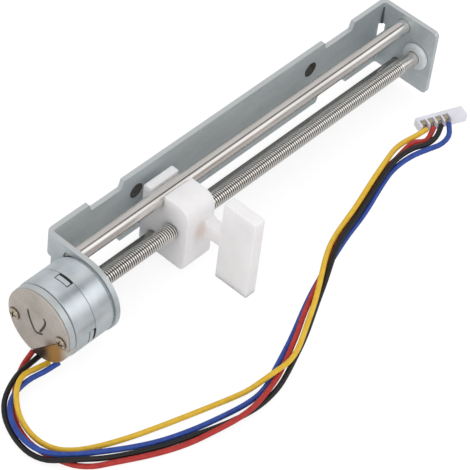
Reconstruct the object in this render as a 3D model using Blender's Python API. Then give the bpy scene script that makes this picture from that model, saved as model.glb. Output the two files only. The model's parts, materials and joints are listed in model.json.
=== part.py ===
# Stepper motor linear slide: a small two-coil stepper motor turns a lead screw between the ears of a bent
# steel bracket, and a white carriage with a side wing runs along the screw and two guide rods.
# Metres, +Z up. +X runs from the motor to the far ear, -Y is the open side of the bracket.
# Sizes are first worked out from the screw: x = 0 at the near ear's inner face, and y = z = 0 on the
# screw's axis.

import math

import bmesh
import bpy
from mathutils import Matrix, Vector

mm = 0.001

# Clearances
running_gap = 0.06 * mm        # radial, where a shaft turns or a carriage slides
seat_gap = 0.1 * mm            # between stacked pieces of the motor

# Bracket, one bent strip of steel
sheet = 1.0 * mm
inside_length = 90.0 * mm      # between the inner faces of the ears
web_setback = 9.25 * mm        # screw axis to the web's inner face
bend_inner_radius = 0.5 * mm
far_ear_reach = 3.65 * mm      # screw axis to the far ear's free edge
far_ear_corner = 0.9 * mm
notch_start = 9.6 * mm         # from each ear's inner face
notch_length = 7.6 * mm
notch_depth = 1.7 * mm
notch_slant = 0.6 * mm
web_hole_radius = 1.6 * mm
web_hole_inset = 21.2 * mm     # from each ear's inner face
web_hole_height = 3.0 * mm
bend_slot_height = 5.0 * mm
bend_slot_depth = 0.9 * mm

# Guide rods
rod_radius = 1.5 * mm
rod_setback = 4.0 * mm         # from the screw axis towards the web
rod_height = 5.0 * mm          # above and below the screw axis

# Lead screw
screw_radius = 1.45 * mm
screw_plain_length = 6.6 * mm  # beside the far ear, past the thread's end
screw_tail_radius = 1.32 * mm
screw_pitch = 0.5 * mm
screw_edge = 0.25 * mm         # chamfer at its shoulder and its far end
motor_shaft_radius = 1.0 * mm

# Far end bush
bush_flange_radius = 2.9 * mm
bush_flange = 0.8 * mm
bush_body_radius = 2.1 * mm
bush_tail = 0.5 * mm           # stands out of the far ear's outer face
bush_dome = 0.3 * mm           # rounding of its flange and tail

# Motor, measured back from the near ear's outer face
can_radius = 7.5 * mm
can_wall = 0.5 * mm
can_floor = can_wall + 0.1 * mm   # the cup's end wall, which is its stator plate
can_start = 0.4 * mm
can_end = 9.3 * mm
can_edge_radius = 0.35 * mm
bore_radius = 0.54 * can_radius   # inside of the claws
claw_thickness = 0.5 * mm
claw_pairs = 5
claw_root_half_angle = 14.0
claw_tip_ratio = 0.5
claw_tip_gap = 0.3 * mm
yoke_gap = 0.05 * mm           # between an inner yoke and the can's seam
bobbin_wall = 0.3 * mm
winding_margin = 0.25 * mm     # how far the winding stays below its bobbin's flanges
tab_angles = (90.0, 186.0, 270.0, 6.0)
tab_window_width = 3.2 * mm    # slots round each locking tab at the can's seam
tab_window_length = 1.4 * mm
tab_front_slot = 0.4 * mm
tab_side_slit = 0.22 * mm
tab_window_depth = 0.7 * mm
front_plate_radius = can_radius - 0.3 * mm
front_plate_thickness = 0.2 * mm
ring_radius = can_radius - 0.15 * mm
ring_start = can_end + seat_gap
ring_thickness = 1.4 * mm
cap_radius = ring_radius - 0.05 * mm
cap_thickness = 0.45 * mm
cap_screw_circle = ring_radius - 1.7 * mm
cap_screw_angles = (-12.0, 175.5)
cap_screw_head_radius = 1.25 * mm
cap_screw_head_height = 0.6 * mm
cap_screw_shank_radius = 0.5 * mm
cap_screw_rim = 0.12 * mm      # straight side below the head's dome
cap_screw_recess = 0.14 * mm   # half the width of the cross's arms
outlet_chord = 0.53 * ring_radius       # screw axis to the straight edge of the cap
outlet_direction = 221.8       # degrees from +Y towards +Z, where the wires come out
outlet_shoulder = 1.2 * mm     # how far below the lower cap screw the cap is cut away
ear_margin = 0.2 * mm          # the near ear's round end stands outside the can
bracket_height = 2 * (can_radius + ear_margin)

# Rotor
air_gap = 0.2 * mm             # between the magnet and the claws
magnet_radius = bore_radius - air_gap
magnet_bore = 0.6 * magnet_radius
magnet_length = 7.4 * mm
hub_overhang = 0.2 * mm        # past each end of the magnet
bearing_radius = 1.9 * mm
bearing_flange_radius = 2.9 * mm
bearing_flange = 0.6 * mm
near_boss_radius = 2.5 * mm
washer_thickness = 0.25 * mm
washer_radius = 1.8 * mm

# Carriage, one moulding
carriage_start = 20.95 * mm    # its motor side, from the near ear's inner face
carriage_length = 7.05 * mm
carriage_front = 3.6 * mm      # screw axis to the front face
carriage_back = 7.45 * mm      # screw axis to the back face
carriage_top = 6.8 * mm
carriage_bottom = 7.9 * mm
back_wall_top = 6.4 * mm
front_corner_radius = 2.6 * mm
lower_corner_radius = 1.0 * mm
back_corner_radius = 1.2 * mm
nut_gap = 0.06 * mm
wing_thickness = 2.5 * mm
wing_inner = 7.5 * mm          # screw axis to the wing's inner edge
wing_outer = 15.0 * mm
wing_half_height = 9.3 * mm
arm_height = 3.0 * mm
arm_fillet = 0.7 * mm

# Travel of the carriage from rest, in turns of the screw
turns_to_motor = 39
turns_to_far_ear = 120

# Wires and plug
wire_radius = 0.5 * mm
wire_point_spacing = 2.4 * mm
plug_place = (69.13 * mm, -18.4 * mm)   # the first wire's end, from the screw
plug_base = 15.2 * mm          # the plug's underside above the surface, raised clear of the wing's path
plug_turn = -22.0              # degrees, the plug's row of wires from +X
plug_pitch = 1.575 * mm
plug_length = 9.9 * mm
plug_depth = 2.5 * mm
plug_height = 1.9 * mm
plug_lead = 1.1 * mm           # from the housing's end to the first wire
plug_pocket_width = 1.25 * mm
plug_pocket_depth = 1.6 * mm
plug_pocket_floor = 0.4 * mm
plug_edge = 0.2 * mm
plug_gap = 0.25 * mm           # between the wires' ends and the housing's face
contact_length = 0.85 * mm
contact_width = 0.85 * mm
contact_height = 1.1 * mm

# Wire routes: x and y from the screw, and height above the surface, all in millimetres
red_route = (
    (-12.1, 1.09, 1.58), (-14.94, 0.45, 0.9), (-17.61, -0.93, 0.87), (-20.04, -2.7, 0.74),
    (-22.31, -4.66, 0.63), (-24.23, -6.96, 0.57), (-25.46, -9.7, 0.57), (-26.09, -12.63, 0.56),
    (-25.86, -15.62, 0.56), (-25.06, -18.52, 0.56), (-23.82, -21.24, 0.56), (-21.74, -23.4, 0.56),
    (-19.15, -24.91, 0.56), (-16.54, -26.41, 0.56), (-13.9, -27.86, 0.56), (-11.21, -29.19, 0.56),
    (-8.43, -30.35, 0.56), (-5.6, -31.35, 0.68), (-2.75, -32.24, 1.05), (0.14, -33, 1.33),
    (3.08, -33.57, 1.53), (6.07, -33.79, 1.73), (9.06, -33.54, 1.91), (12.01, -32.93, 1.98),
    (14.91, -32.13, 2), (17.65, -31.19, 2.75), (20.27, -30.23, 3.86), (22.9, -29.17, 4.87),
    (25.48, -27.98, 5.84), (28.14, -26.9, 6.75), (30.83, -25.94, 7.67), (33.51, -24.97, 8.63),
    (36.21, -24, 9.52), (38.96, -23.08, 10.32), (41.77, -22.28, 11.06), (44.6, -21.59, 11.78),
    (47.42, -20.95, 12.61), (50.22, -20.37, 13.54), (53.02, -19.79, 14.47), (55.88, -19.17, 15.17),
    (59.18, -19.23, 15.6), (62.23, -18.89, 15.85), (64.57, -19.07, 16.4), (67.55, -19.84, 15.53),
    (70.59, -18.99, 16.25),
)
black_route = (
    (-12, -0.41, 1.51), (-14.99, -0.76, 1.79), (-17.9, -1.33, 2.34), (-20.78, -2.22, 2.16),
    (-23.41, -3.61, 1.7), (-25.47, -5.79, 1.37), (-26.87, -8.47, 1.2), (-27.7, -11.37, 1.04),
    (-27.83, -14.38, 0.94), (-27.01, -17.25, 1.19), (-25.24, -19.61, 1.75), (-22.82, -21.4, 1.51),
    (-20.28, -22.91, 0.88), (-17.68, -24.43, 0.59), (-15.04, -25.92, 0.56), (-12.37, -27.34, 0.59),
    (-9.63, -28.62, 0.64), (-6.8, -29.71, 0.65), (-3.94, -30.69, 0.6), (-1.08, -31.69, 0.56),
    (1.82, -32.57, 0.56), (4.76, -33.27, 0.56), (7.75, -33.74, 0.67), (10.76, -33.82, 0.94),
    (13.74, -33.53, 1.4), (16.6, -32.78, 2.02), (19.38, -31.88, 2.82), (22.13, -30.97, 3.7),
    (24.82, -29.89, 4.58), (27.41, -28.72, 5.61), (29.91, -27.62, 6.93), (32.36, -26.63, 8.41),
    (34.82, -25.5, 9.76), (37.37, -24.3, 10.83), (40.1, -23.31, 11.68), (42.99, -22.69, 12.32),
    (45.9, -22.16, 12.97), (48.74, -21.55, 13.84), (51.53, -21, 14.87), (54.35, -20.49, 15.83),
    (57.27, -19.99, 16.46), (60.18, -19.85, 16.68), (63.47, -20.1, 16.46), (66.08, -20.88, 16.17),
    (69.3, -20.69, 15.96), (72.05, -19.58, 16.25),
)
yellow_route = (
    (-12.1, -2.92, 2.07), (-15.03, -2.45, 2.24), (-17.91, -2.48, 2.93), (-20.59, -3.72, 3.15),
    (-22.72, -5.76, 2.75), (-24.22, -8.22, 2.02), (-24.95, -11.04, 1.41), (-24.81, -13.97, 0.89),
    (-23.66, -16.68, 0.59), (-21.61, -18.83, 0.56), (-19.1, -20.44, 0.56), (-16.42, -21.76, 0.56),
    (-13.67, -22.92, 0.56), (-10.87, -23.96, 0.56), (-8.04, -24.91, 0.56), (-5.2, -25.83, 0.56),
    (-2.35, -26.72, 0.56), (0.51, -27.59, 0.56), (3.36, -28.45, 0.56), (6.22, -29.31, 0.6),
    (9.06, -30.19, 0.9), (11.75, -30.96, 1.89), (14.4, -31.68, 3.04), (17.29, -32.08, 3.58),
    (20.14, -31.6, 4.28), (22.78, -30.51, 5.12), (25.36, -29.3, 5.99), (27.87, -28.17, 7.13),
    (30.26, -26.91, 8.41), (32.66, -25.49, 9.5), (35.13, -24.04, 10.32), (37.75, -22.76, 10.95),
    (40.52, -21.95, 11.71), (43.33, -21.48, 12.61), (46.14, -21.03, 13.51), (48.92, -20.47, 14.44),
    (51.69, -19.89, 15.4), (54.52, -19.32, 16.17), (57.4, -18.7, 16.63), (60.3, -18, 16.6),
    (63.25, -17.72, 16.24), (66.21, -18.11, 16.21), (69.13, -18.4, 16.25),
)
blue_route = (
    (-11.5, -4.69, 3.07), (-14.36, -4.1, 2.49), (-17.24, -3.45, 2.19), (-20.19, -3.53, 1.92),
    (-22.92, -4.66, 2.04), (-25.07, -6.7, 2.21), (-26.51, -9.3, 2.17), (-27.12, -12.19, 1.99),
    (-26.75, -15.12, 1.79), (-25.33, -17.72, 1.73), (-23.16, -19.74, 1.54), (-20.67, -21.36, 1.31),
    (-18.12, -22.88, 1.05), (-15.54, -24.35, 0.81), (-12.92, -25.75, 0.64), (-10.25, -27.07, 0.56),
    (-7.5, -28.22, 0.56), (-4.69, -29.19, 0.56), (-1.82, -30.02, 0.56), (1.07, -30.73, 0.56),
    (3.98, -31.37, 0.56), (6.91, -31.9, 0.63), (9.87, -32.13, 0.85), (12.78, -31.69, 1.22),
    (15.55, -30.73, 1.76), (18.3, -29.88, 2.5), (21.02, -29.03, 3.37), (23.69, -28.06, 4.24),
    (26.35, -27.02, 5.11), (29.03, -26.05, 5.99), (31.75, -25.21, 6.88), (34.51, -24.58, 7.79),
    (37.29, -24.03, 8.72), (40.06, -23.46, 9.67), (42.83, -22.99, 10.63), (45.63, -22.69, 11.61),
    (48.4, -22.26, 12.61), (51.13, -21.66, 13.65), (53.89, -21.05, 14.59), (56.74, -20.57, 15.29),
    (59.66, -20.62, 15.79), (62.57, -21.13, 16.13), (65.44, -21.9, 16.15), (68.35, -22.55, 16.02),
    (71.26, -22.08, 16.01), (73.51, -20.17, 16.25),
)

can_steps = 44
round_steps = 32
bush_steps = 28
small_round_steps = 24
screw_head_steps = 20
screw_hole_steps = 16

# Extents of the rigid slide give the origin: the middle of its box, on the surface it stands on
motor_end = ring_start + ring_thickness + seat_gap + cap_thickness
low_x = -sheet - motor_end - cap_screw_head_height
high_x = inside_length + sheet + bush_tail
low_y = -wing_outer
high_y = web_setback + sheet
origin = Vector(((low_x + high_x) / 2, (low_y + high_y) / 2, -wing_half_height))


def placed(x, y, z):
    """A point given from the screw, in the part's own frame."""
    return Vector((x, y, z)) - origin


def motor_x(back):
    """A distance back from the near ear's outer face, as x from its inner face."""
    return -sheet - back


def seen_from_screw(profile):
    """A profile of (distance back, radius) as (x, radius)."""
    return [(motor_x(back), radius) for back, radius in profile]


def material(name, color, roughness, metallic=0.0):
    found = bpy.data.materials.get(name)
    if found:
        return found
    made = bpy.data.materials.new(name)
    made.use_nodes = True
    shader = made.node_tree.nodes["Principled BSDF"]
    shader.inputs["Base Color"].default_value = (*color, 1.0)
    shader.inputs["Roughness"].default_value = roughness
    shader.inputs["Metallic"].default_value = metallic
    return made


def zinc_steel():
    return material("zinc_plated_steel", (0.45, 0.48, 0.50), 0.38, 1.0)


def ground_steel():
    return material("ground_steel", (0.62, 0.60, 0.57), 0.2, 1.0)


def can_steel():
    return material("nickel_plated_steel", (0.60, 0.63, 0.66), 0.32, 1.0)


def cap_steel():
    return material("plain_steel_cap", (0.48, 0.43, 0.38), 0.5, 0.6)


def screw_brass():
    return material("yellow_zinc_screw", (0.78, 0.68, 0.50), 0.3, 1.0)


def white_acetal():
    return material("white_acetal", (0.82, 0.82, 0.83), 0.35)


def bobbin_plastic():
    return material("natural_polyamide", (0.75, 0.72, 0.62), 0.5)


def copper():
    return material("enamelled_copper", (0.72, 0.33, 0.14), 0.3, 1.0)


def ferrite():
    return material("bonded_ferrite", (0.04, 0.04, 0.045), 0.6)


def bearing_bronze():
    return material("sintered_bronze", (0.55, 0.38, 0.16), 0.4, 1.0)


def amber_resin():
    return material("amber_resin", (0.42, 0.22, 0.06), 0.25)


def plug_nylon():
    return material("white_nylon", (0.80, 0.79, 0.82), 0.4)


def contact_tin():
    return material("tinned_contact", (0.70, 0.69, 0.66), 0.3, 1.0)


def add_object(name, mesh_data, surface, at=(0.0, 0.0, 0.0), parent=None):
    """Makes a named object of a bmesh measured from the screw, with its origin at a given point."""
    bmesh.ops.remove_doubles(mesh_data, verts=mesh_data.verts, dist=1e-7)
    bmesh.ops.recalc_face_normals(mesh_data, faces=mesh_data.faces)
    bmesh.ops.translate(mesh_data, verts=mesh_data.verts, vec=-Vector(at))
    mesh = bpy.data.meshes.new(name)
    mesh_data.to_mesh(mesh)
    mesh_data.free()
    mesh.shade_smooth()
    mesh.set_sharp_from_angle(angle=math.radians(30))
    mesh.materials.append(surface)
    made = bpy.data.objects.new(name, mesh)
    bpy.context.collection.objects.link(made)
    made.location = placed(*at)
    if parent:
        made.parent = parent
        made.location = Vector(at) - Vector(parent["at"])
    return made


def add_axis(name, at, travel):
    """An empty on a joint's axis, which carries the pieces that move with it and notes their travel."""
    made = bpy.data.objects.new(name, None)
    made["at"] = at
    made["travel"] = travel
    made.location = placed(*at)
    bpy.context.collection.objects.link(made)
    return made


def cut(target, cutter, operation="DIFFERENCE"):
    """Cuts or joins a hidden solid with a piece."""
    cutter.hide_render = True
    cutter.display_type = "WIRE"
    step = target.modifiers.new(cutter.name, "BOOLEAN")
    step.operation = operation
    step.solver = "EXACT"
    step.object = cutter


def outline_prism(points, axis, start, end):
    """Extrudes a closed outline along X, Y or Z. The points are (y, z), (x, z) or (x, y)."""
    order = {
        "X": lambda a, b: (start, a, b),
        "Y": lambda a, b: (a, start, b),
        "Z": lambda a, b: (a, b, start),
    }
    prism = bmesh.new()
    face = prism.faces.new([prism.verts.new(order[axis](a, b)) for a, b in points])
    grown = bmesh.ops.extrude_face_region(prism, geom=[face])
    along = {"X": Vector((1, 0, 0)), "Y": Vector((0, 1, 0)), "Z": Vector((0, 0, 1))}[axis] * (end - start)
    moved = [item for item in grown["geom"] if isinstance(item, bmesh.types.BMVert)]
    bmesh.ops.translate(prism, verts=moved, vec=along)
    return prism


def turned(profile, steps=round_steps, center=(0.0, 0.0)):
    """Spins a closed (x, radius) profile about the X axis through a centre (y, z)."""
    shape = bmesh.new()
    start = [shape.verts.new((x, radius, 0.0)) for x, radius in profile]
    edges = [shape.edges.new((a, b)) for a, b in zip(start, start[1:] + start[:1])]
    bmesh.ops.spin(shape, geom=start + edges, cent=(0, 0, 0), axis=(1, 0, 0), angle=math.tau,
                   steps=steps, use_merge=True)
    bmesh.ops.remove_doubles(shape, verts=shape.verts, dist=1e-7)
    bmesh.ops.dissolve_degenerate(shape, dist=1e-7, edges=shape.edges)
    loose = [edge for edge in shape.edges if not edge.link_faces]
    bmesh.ops.delete(shape, geom=loose, context="EDGES")
    bmesh.ops.translate(shape, verts=shape.verts, vec=(0, center[0], center[1]))
    return shape


def arc(center, radius, start, end, steps=6):
    """Points along an arc, in degrees."""
    angles = [math.radians(start + (end - start) * step / steps) for step in range(steps + 1)]
    return [(center[0] + radius * math.cos(a), center[1] + radius * math.sin(a)) for a in angles]


def cutting_rod(name, radius, start, end, y, z, steps=small_round_steps):
    """A hidden round bar along X that cuts a hole."""
    return add_object(name, turned([(start, 0), (start, radius), (end, radius), (end, 0)], steps, (y, z)),
                      zinc_steel())


def bracket_strip():
    """The bent strip seen from above: near ear, web and far ear with their two bends."""
    back = web_setback
    outer = bend_inner_radius + sheet
    near_reach = bracket_height / 2
    bend = back - bend_inner_radius
    far = inside_length
    points = [(-sheet, -near_reach), (0.0, -near_reach)]
    points += arc((bend_inner_radius, bend), bend_inner_radius, 180, 90, 4)
    points += arc((far - bend_inner_radius, bend), bend_inner_radius, 90, 0, 4)
    points += [(far, -far_ear_reach), (far + sheet, -far_ear_reach)]
    points += arc((far - bend_inner_radius, bend), outer, 0, 90, 6)
    points += arc((bend_inner_radius, bend), outer, 90, 180, 6)
    return outline_prism(points, "Z", -bracket_height / 2, bracket_height / 2)


def ear_end_cutter():
    """What the near ear loses so that its end is round about the motor's axis."""
    half = bracket_height / 2
    clear = half + 2 * sheet
    points = [(0.0, -clear), (-clear, -clear), (-clear, clear), (0.0, clear)]
    points += [(y, z) for z, y in arc((0.0, 0.0), half, 0, -180, 20)]
    return add_object("near_ear_end_cut", outline_prism(points, "X", -2 * sheet, sheet / 2), zinc_steel())


def corner_cutter(name, side):
    """Rounds one corner of the far ear's free edge."""
    half = bracket_height / 2
    inner_y = -far_ear_reach + far_ear_corner
    inner_z = half - far_ear_corner
    points = [(-far_ear_reach - sheet, side * (half + sheet)), (inner_y, side * (half + sheet))]
    points += [(y, side * z) for y, z in arc((inner_y, inner_z), far_ear_corner, 90, 180, 5)]
    points += [(-far_ear_reach - sheet, side * inner_z)]
    return add_object(name, outline_prism(points, "X", inside_length - sheet, inside_length + 2 * sheet),
                      zinc_steel())


def notch_cutter(name, start, side):
    """A shallow notch in one long edge of the web."""
    edge = bracket_height / 2
    floor = edge - notch_depth
    clear = edge + sheet
    wide = notch_slant * (1 + sheet / notch_depth)
    points = [(start - wide, side * clear), (start, side * floor), (start + notch_length, side * floor),
              (start + notch_length + wide, side * clear)]
    return add_object(name, outline_prism(points, "Y", web_setback - sheet, web_setback + 2 * sheet),
                      zinc_steel())


def bend_slot_cutter(name, corner_x, side):
    """The slot that eases a bend in the middle of its height."""
    inner = corner_x - side * bend_slot_depth
    outer = corner_x + side * 3 * sheet
    half = bend_slot_height / 2
    low_y = web_setback - bend_slot_depth
    high_y = web_setback + 3 * sheet
    points = [(inner, low_y), (outer, low_y), (outer, high_y), (inner, high_y)]
    return add_object(name, outline_prism(points, "Z", -half, half), zinc_steel())


def bracket():
    frame = add_object("bracket", bracket_strip(), zinc_steel())
    cut(frame, ear_end_cutter())
    for label, side in (("upper", 1), ("lower", -1)):
        cut(frame, corner_cutter("far_corner_cut_" + label, side))
        cut(frame, notch_cutter("near_notch_cut_" + label, notch_start, side))
        cut(frame, notch_cutter("far_notch_cut_" + label, inside_length - notch_start - notch_length, side))
    cut(frame, bend_slot_cutter("near_slot_cut", 0.0, -1))
    cut(frame, bend_slot_cutter("far_slot_cut", inside_length, 1))
    for label, x in (("near", web_hole_inset), ("far", inside_length - web_hole_inset)):
        profile = [(-sheet, 0), (-sheet, web_hole_radius), (2 * sheet, web_hole_radius), (2 * sheet, 0)]
        hole = turned(profile, small_round_steps)
        bmesh.ops.rotate(hole, verts=hole.verts, cent=(0, 0, 0),
                         matrix=Matrix.Rotation(math.radians(90), 3, "Z"))
        bmesh.ops.translate(hole, verts=hole.verts, vec=(x, web_setback, web_hole_height))
        cut(frame, add_object("web_hole_cut_" + label, hole, zinc_steel()))
    for label, z in (("upper", rod_height), ("lower", -rod_height)):
        for end, x in (("near", -sheet / 2), ("far", inside_length + sheet / 2)):
            name = "rod_hole_cut_%s_%s" % (label, end)
            cut(frame, cutting_rod(name, rod_radius + running_gap, x - sheet, x + sheet, rod_setback, z,
                                   round_steps))
    cut(frame, cutting_rod("boss_hole_cut", near_boss_radius + running_gap, -2 * sheet, sheet, 0, 0,
                           round_steps))
    cut(frame, cutting_rod("bush_hole_cut", bush_body_radius + running_gap, inside_length - sheet,
                           inside_length + 2 * sheet, 0, 0, round_steps))


def guide_rod(name, z):
    """A ground rod held in a hole of each ear, with a small chamfer at its ends."""
    start = -sheet + 0.1 * mm
    end = inside_length + sheet - 0.1 * mm
    edge = 0.2 * mm
    profile = [(start, 0), (start, rod_radius - edge), (start + edge, rod_radius), (end - edge, rod_radius),
               (end, rod_radius - edge), (end, 0)]
    add_object(name, turned(profile, round_steps, (rod_setback, z)), ground_steel(),
               at=(0, rod_setback, z))


def end_bush():
    """The flanged bush in the far ear, with a rounded flange and a blind end."""
    bore = screw_tail_radius + running_gap
    face = inside_length - seat_gap
    front = face - bush_flange
    dome = bush_dome
    tail = inside_length + sheet + bush_tail
    bore_end = tail - 2 * dome
    profile = [(front, bore), (front, bush_flange_radius - 2 * dome),
               (front + 0.4 * dome, bush_flange_radius - dome), (front + 1.4 * dome, bush_flange_radius),
               (face, bush_flange_radius), (face, bush_body_radius), (tail - dome, bush_body_radius),
               (tail, bush_body_radius - dome), (tail, 0), (bore_end, 0), (bore_end, bore)]
    add_object("end_bush", turned(profile, bush_steps), white_acetal())


def front_plate():
    """The thin plate that the motor's can is fastened to the ear with."""
    start = motor_x(seat_gap)
    end = start - front_plate_thickness
    hole = near_boss_radius + running_gap
    profile = [(start, hole), (start, front_plate_radius), (end, front_plate_radius), (end, hole)]
    add_object("front_plate", turned(profile), zinc_steel())


def claw(radius, half_angle, start, end, angle):
    """One tapered claw of a stator cup, bent round the rotor and running along X."""
    outer = radius + claw_thickness
    steps = 2
    shape = bmesh.new()

    def edge_points(at, half):
        turns = [math.radians(-half + 2 * half * step / steps) for step in range(steps + 1)]
        inside = [(at, radius * math.cos(a), radius * math.sin(a)) for a in turns]
        outside = [(at, outer * math.cos(a), outer * math.sin(a)) for a in reversed(turns)]
        return inside + outside

    root = [shape.verts.new(point) for point in edge_points(start, half_angle)]
    tip = [shape.verts.new(point) for point in edge_points(end, half_angle * claw_tip_ratio)]
    root_face = [shape.edges.new((a, b)) for a, b in zip(root, root[1:] + root[:1])]
    tip_face = [shape.edges.new((a, b)) for a, b in zip(tip, tip[1:] + tip[:1])]
    bmesh.ops.bridge_loops(shape, edges=root_face + tip_face)
    shape.faces.new(root)
    shape.faces.new(tip)
    bmesh.ops.rotate(shape, verts=shape.verts, cent=(0, 0, 0),
                     matrix=Matrix.Rotation(math.radians(angle), 3, "X"))
    bmesh.ops.recalc_face_normals(shape, faces=shape.faces)
    return shape


def claw_ring(name, start, end, first_angle):
    """All claws of one stator cup or yoke, evenly spaced, as one hidden shape to be joined."""
    ring = bmesh.new()
    for index in range(claw_pairs):
        one = claw(bore_radius, claw_root_half_angle, start, end, first_angle + 360 * index / claw_pairs)
        scratch = bpy.data.meshes.new("claw")
        one.to_mesh(scratch)
        one.free()
        ring.from_mesh(scratch)
        bpy.data.meshes.remove(scratch)
    return add_object(name, ring, can_steel())


def stator_half(label, shell_end, middle, has_tabs):
    """One half of the stator: cup, inner yoke, bobbin and winding, from the can's end to its seam."""
    toward = 1 if middle > shell_end else -1
    plate_inner = shell_end + toward * can_floor
    seam = middle - toward * seat_gap / 2
    rim = can_edge_radius
    plate_bore = bore_radius + claw_thickness / 2
    profile = [(motor_x(shell_end), plate_bore), (motor_x(shell_end), can_radius - rim)]
    profile += [(motor_x(shell_end + toward * (rim - along)), can_radius - rim + out)
                for out, along in arc((0, 0), rim, 72, 0, 4)]
    profile += [(motor_x(seam), can_radius), (motor_x(seam), can_radius - can_wall),
                (motor_x(plate_inner), can_radius - can_wall), (motor_x(plate_inner), plate_bore)]
    cup = add_object(label + "_cup", turned(profile, can_steps), can_steel())

    yoke_outer = seam - toward * yoke_gap
    yoke_inner = yoke_outer - toward * can_wall
    root = shell_end + toward * can_wall / 2
    tip = yoke_inner - toward * claw_tip_gap
    if has_tabs:
        for angle in tab_angles:
            cut(cup, tab_window_cutter("%s_tab_window_cut_%d" % (label, angle), motor_x(seam), angle))
    cut(cup, claw_ring(label + "_cup_claws", motor_x(root), motor_x(tip), 0), "UNION")

    yoke_radius = can_radius - can_wall - seat_gap
    profile = [(motor_x(yoke_inner), plate_bore), (motor_x(yoke_inner), yoke_radius),
               (motor_x(yoke_outer), yoke_radius), (motor_x(yoke_outer), plate_bore)]
    yoke = add_object(label + "_yoke", turned(profile, bush_steps), can_steel())
    yoke_root = yoke_inner + toward * can_wall / 2
    yoke_tip = plate_inner + toward * claw_tip_gap
    half_pitch = 180 / claw_pairs
    claws = claw_ring(label + "_yoke_claws", motor_x(yoke_root), motor_x(yoke_tip), half_pitch)
    cut(yoke, claws, "UNION")

    tube = bore_radius + claw_thickness + seat_gap
    flange = yoke_radius - seat_gap
    wall = bobbin_wall
    low = plate_inner + toward * seat_gap
    high = yoke_inner - toward * seat_gap
    low_flange = low + toward * wall
    high_flange = high - toward * wall
    profile = [(low, tube), (low, flange), (low_flange, flange), (low_flange, tube + wall),
               (high_flange, tube + wall), (high_flange, flange), (high, flange), (high, tube)]
    add_object(label + "_bobbin", turned(seen_from_screw(profile), small_round_steps), bobbin_plastic())
    coil_low = low + toward * (wall + seat_gap)
    coil_high = high - toward * (wall + seat_gap)
    coil_inner = tube + wall + seat_gap
    coil_outer = flange - winding_margin
    profile = [(coil_low, coil_inner), (coil_low, coil_outer), (coil_high, coil_outer),
               (coil_high, coil_inner)]
    add_object(label + "_winding", turned(seen_from_screw(profile), small_round_steps), copper())


def tab_window_cutter(name, seam_x, angle):
    """The U of slots through the can's wall that frees a locking tab at the seam."""
    half = tab_window_width / 2
    inner = half - tab_side_slit
    ahead = seam_x + sheet
    slot = seam_x - tab_front_slot
    back = seam_x - tab_window_length
    points = [(ahead, -half), (ahead, half), (back, half), (back, inner), (slot, inner),
              (slot, -inner), (back, -inner), (back, -half)]
    shape = outline_prism(points, "Z", can_radius - tab_window_depth, can_radius + sheet)
    bmesh.ops.rotate(shape, verts=shape.verts, cent=(0, 0, 0),
                     matrix=Matrix.Rotation(math.radians(angle - 90), 3, "X"))
    return add_object(name, shape, can_steel())


def outlet_outline(reach, inset=0.0):
    """The corner of the motor's end where the wires come out, from its straight edge outwards."""
    chord = outlet_chord + inset
    direction = math.radians(outlet_direction)
    normal = Vector((math.cos(direction), math.sin(direction)))
    along = Vector((-normal.y, normal.x))
    shoulder_z = cap_screw_circle * math.sin(math.radians(cap_screw_angles[1])) - outlet_shoulder - inset
    corner = normal * chord
    steps = (shoulder_z - corner.y) / along.y
    shoulder = corner + along * steps
    far = corner + along * reach
    return [tuple(far), tuple(shoulder), (-reach, shoulder.y), (-reach, -reach), (far.x, -reach)]


def end_ring():
    """The ring that closes the can, open at the corner where the wires come out."""
    start = motor_x(ring_start)
    end = start - ring_thickness
    hole = bearing_radius + running_gap
    edge = 0.15 * mm
    profile = [(start, hole), (start, ring_radius - edge), (start - edge, ring_radius),
               (end + edge, ring_radius), (end, ring_radius - edge), (end, hole)]
    ring = add_object("end_ring", turned(profile, can_steps), can_steel())
    outline = outlet_outline(2 * ring_radius)
    shape = outline_prism(outline, "X", end - sheet, start + sheet)
    cut(ring, add_object("ring_outlet_cut", shape, can_steel()))
    for index, angle in enumerate(cap_screw_angles):
        y, z = on_circle(cap_screw_circle, angle)
        name = "ring_screw_hole_cut_%d" % (index + 1)
        cut(ring, cutting_rod(name, cap_screw_shank_radius + running_gap, end - sheet, start + sheet, y, z,
                              screw_hole_steps))


def on_circle(radius, angle):
    return radius * math.cos(math.radians(angle)), radius * math.sin(math.radians(angle))


def end_cap():
    """The flat cap on the motor's end, cut straight where the wires come out."""
    start = motor_x(ring_start + ring_thickness + seat_gap)
    end = start - cap_thickness
    edge = 0.1 * mm
    profile = [(start, 0), (start, cap_radius), (end + edge, cap_radius), (end, cap_radius - edge),
               (end, 0)]
    cap = add_object("end_cap", turned(profile, can_steps), cap_steel())
    shape = outline_prism(outlet_outline(2 * cap_radius), "X", end - sheet, start + sheet)
    cut(cap, add_object("cap_outlet_cut", shape, cap_steel()))
    for index, angle in enumerate(cap_screw_angles):
        y, z = on_circle(cap_screw_circle, angle)
        name = "cap_screw_hole_cut_%d" % (index + 1)
        cut(cap, cutting_rod(name, cap_screw_shank_radius + running_gap, end - sheet, start + sheet, y, z,
                             screw_hole_steps))


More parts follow.
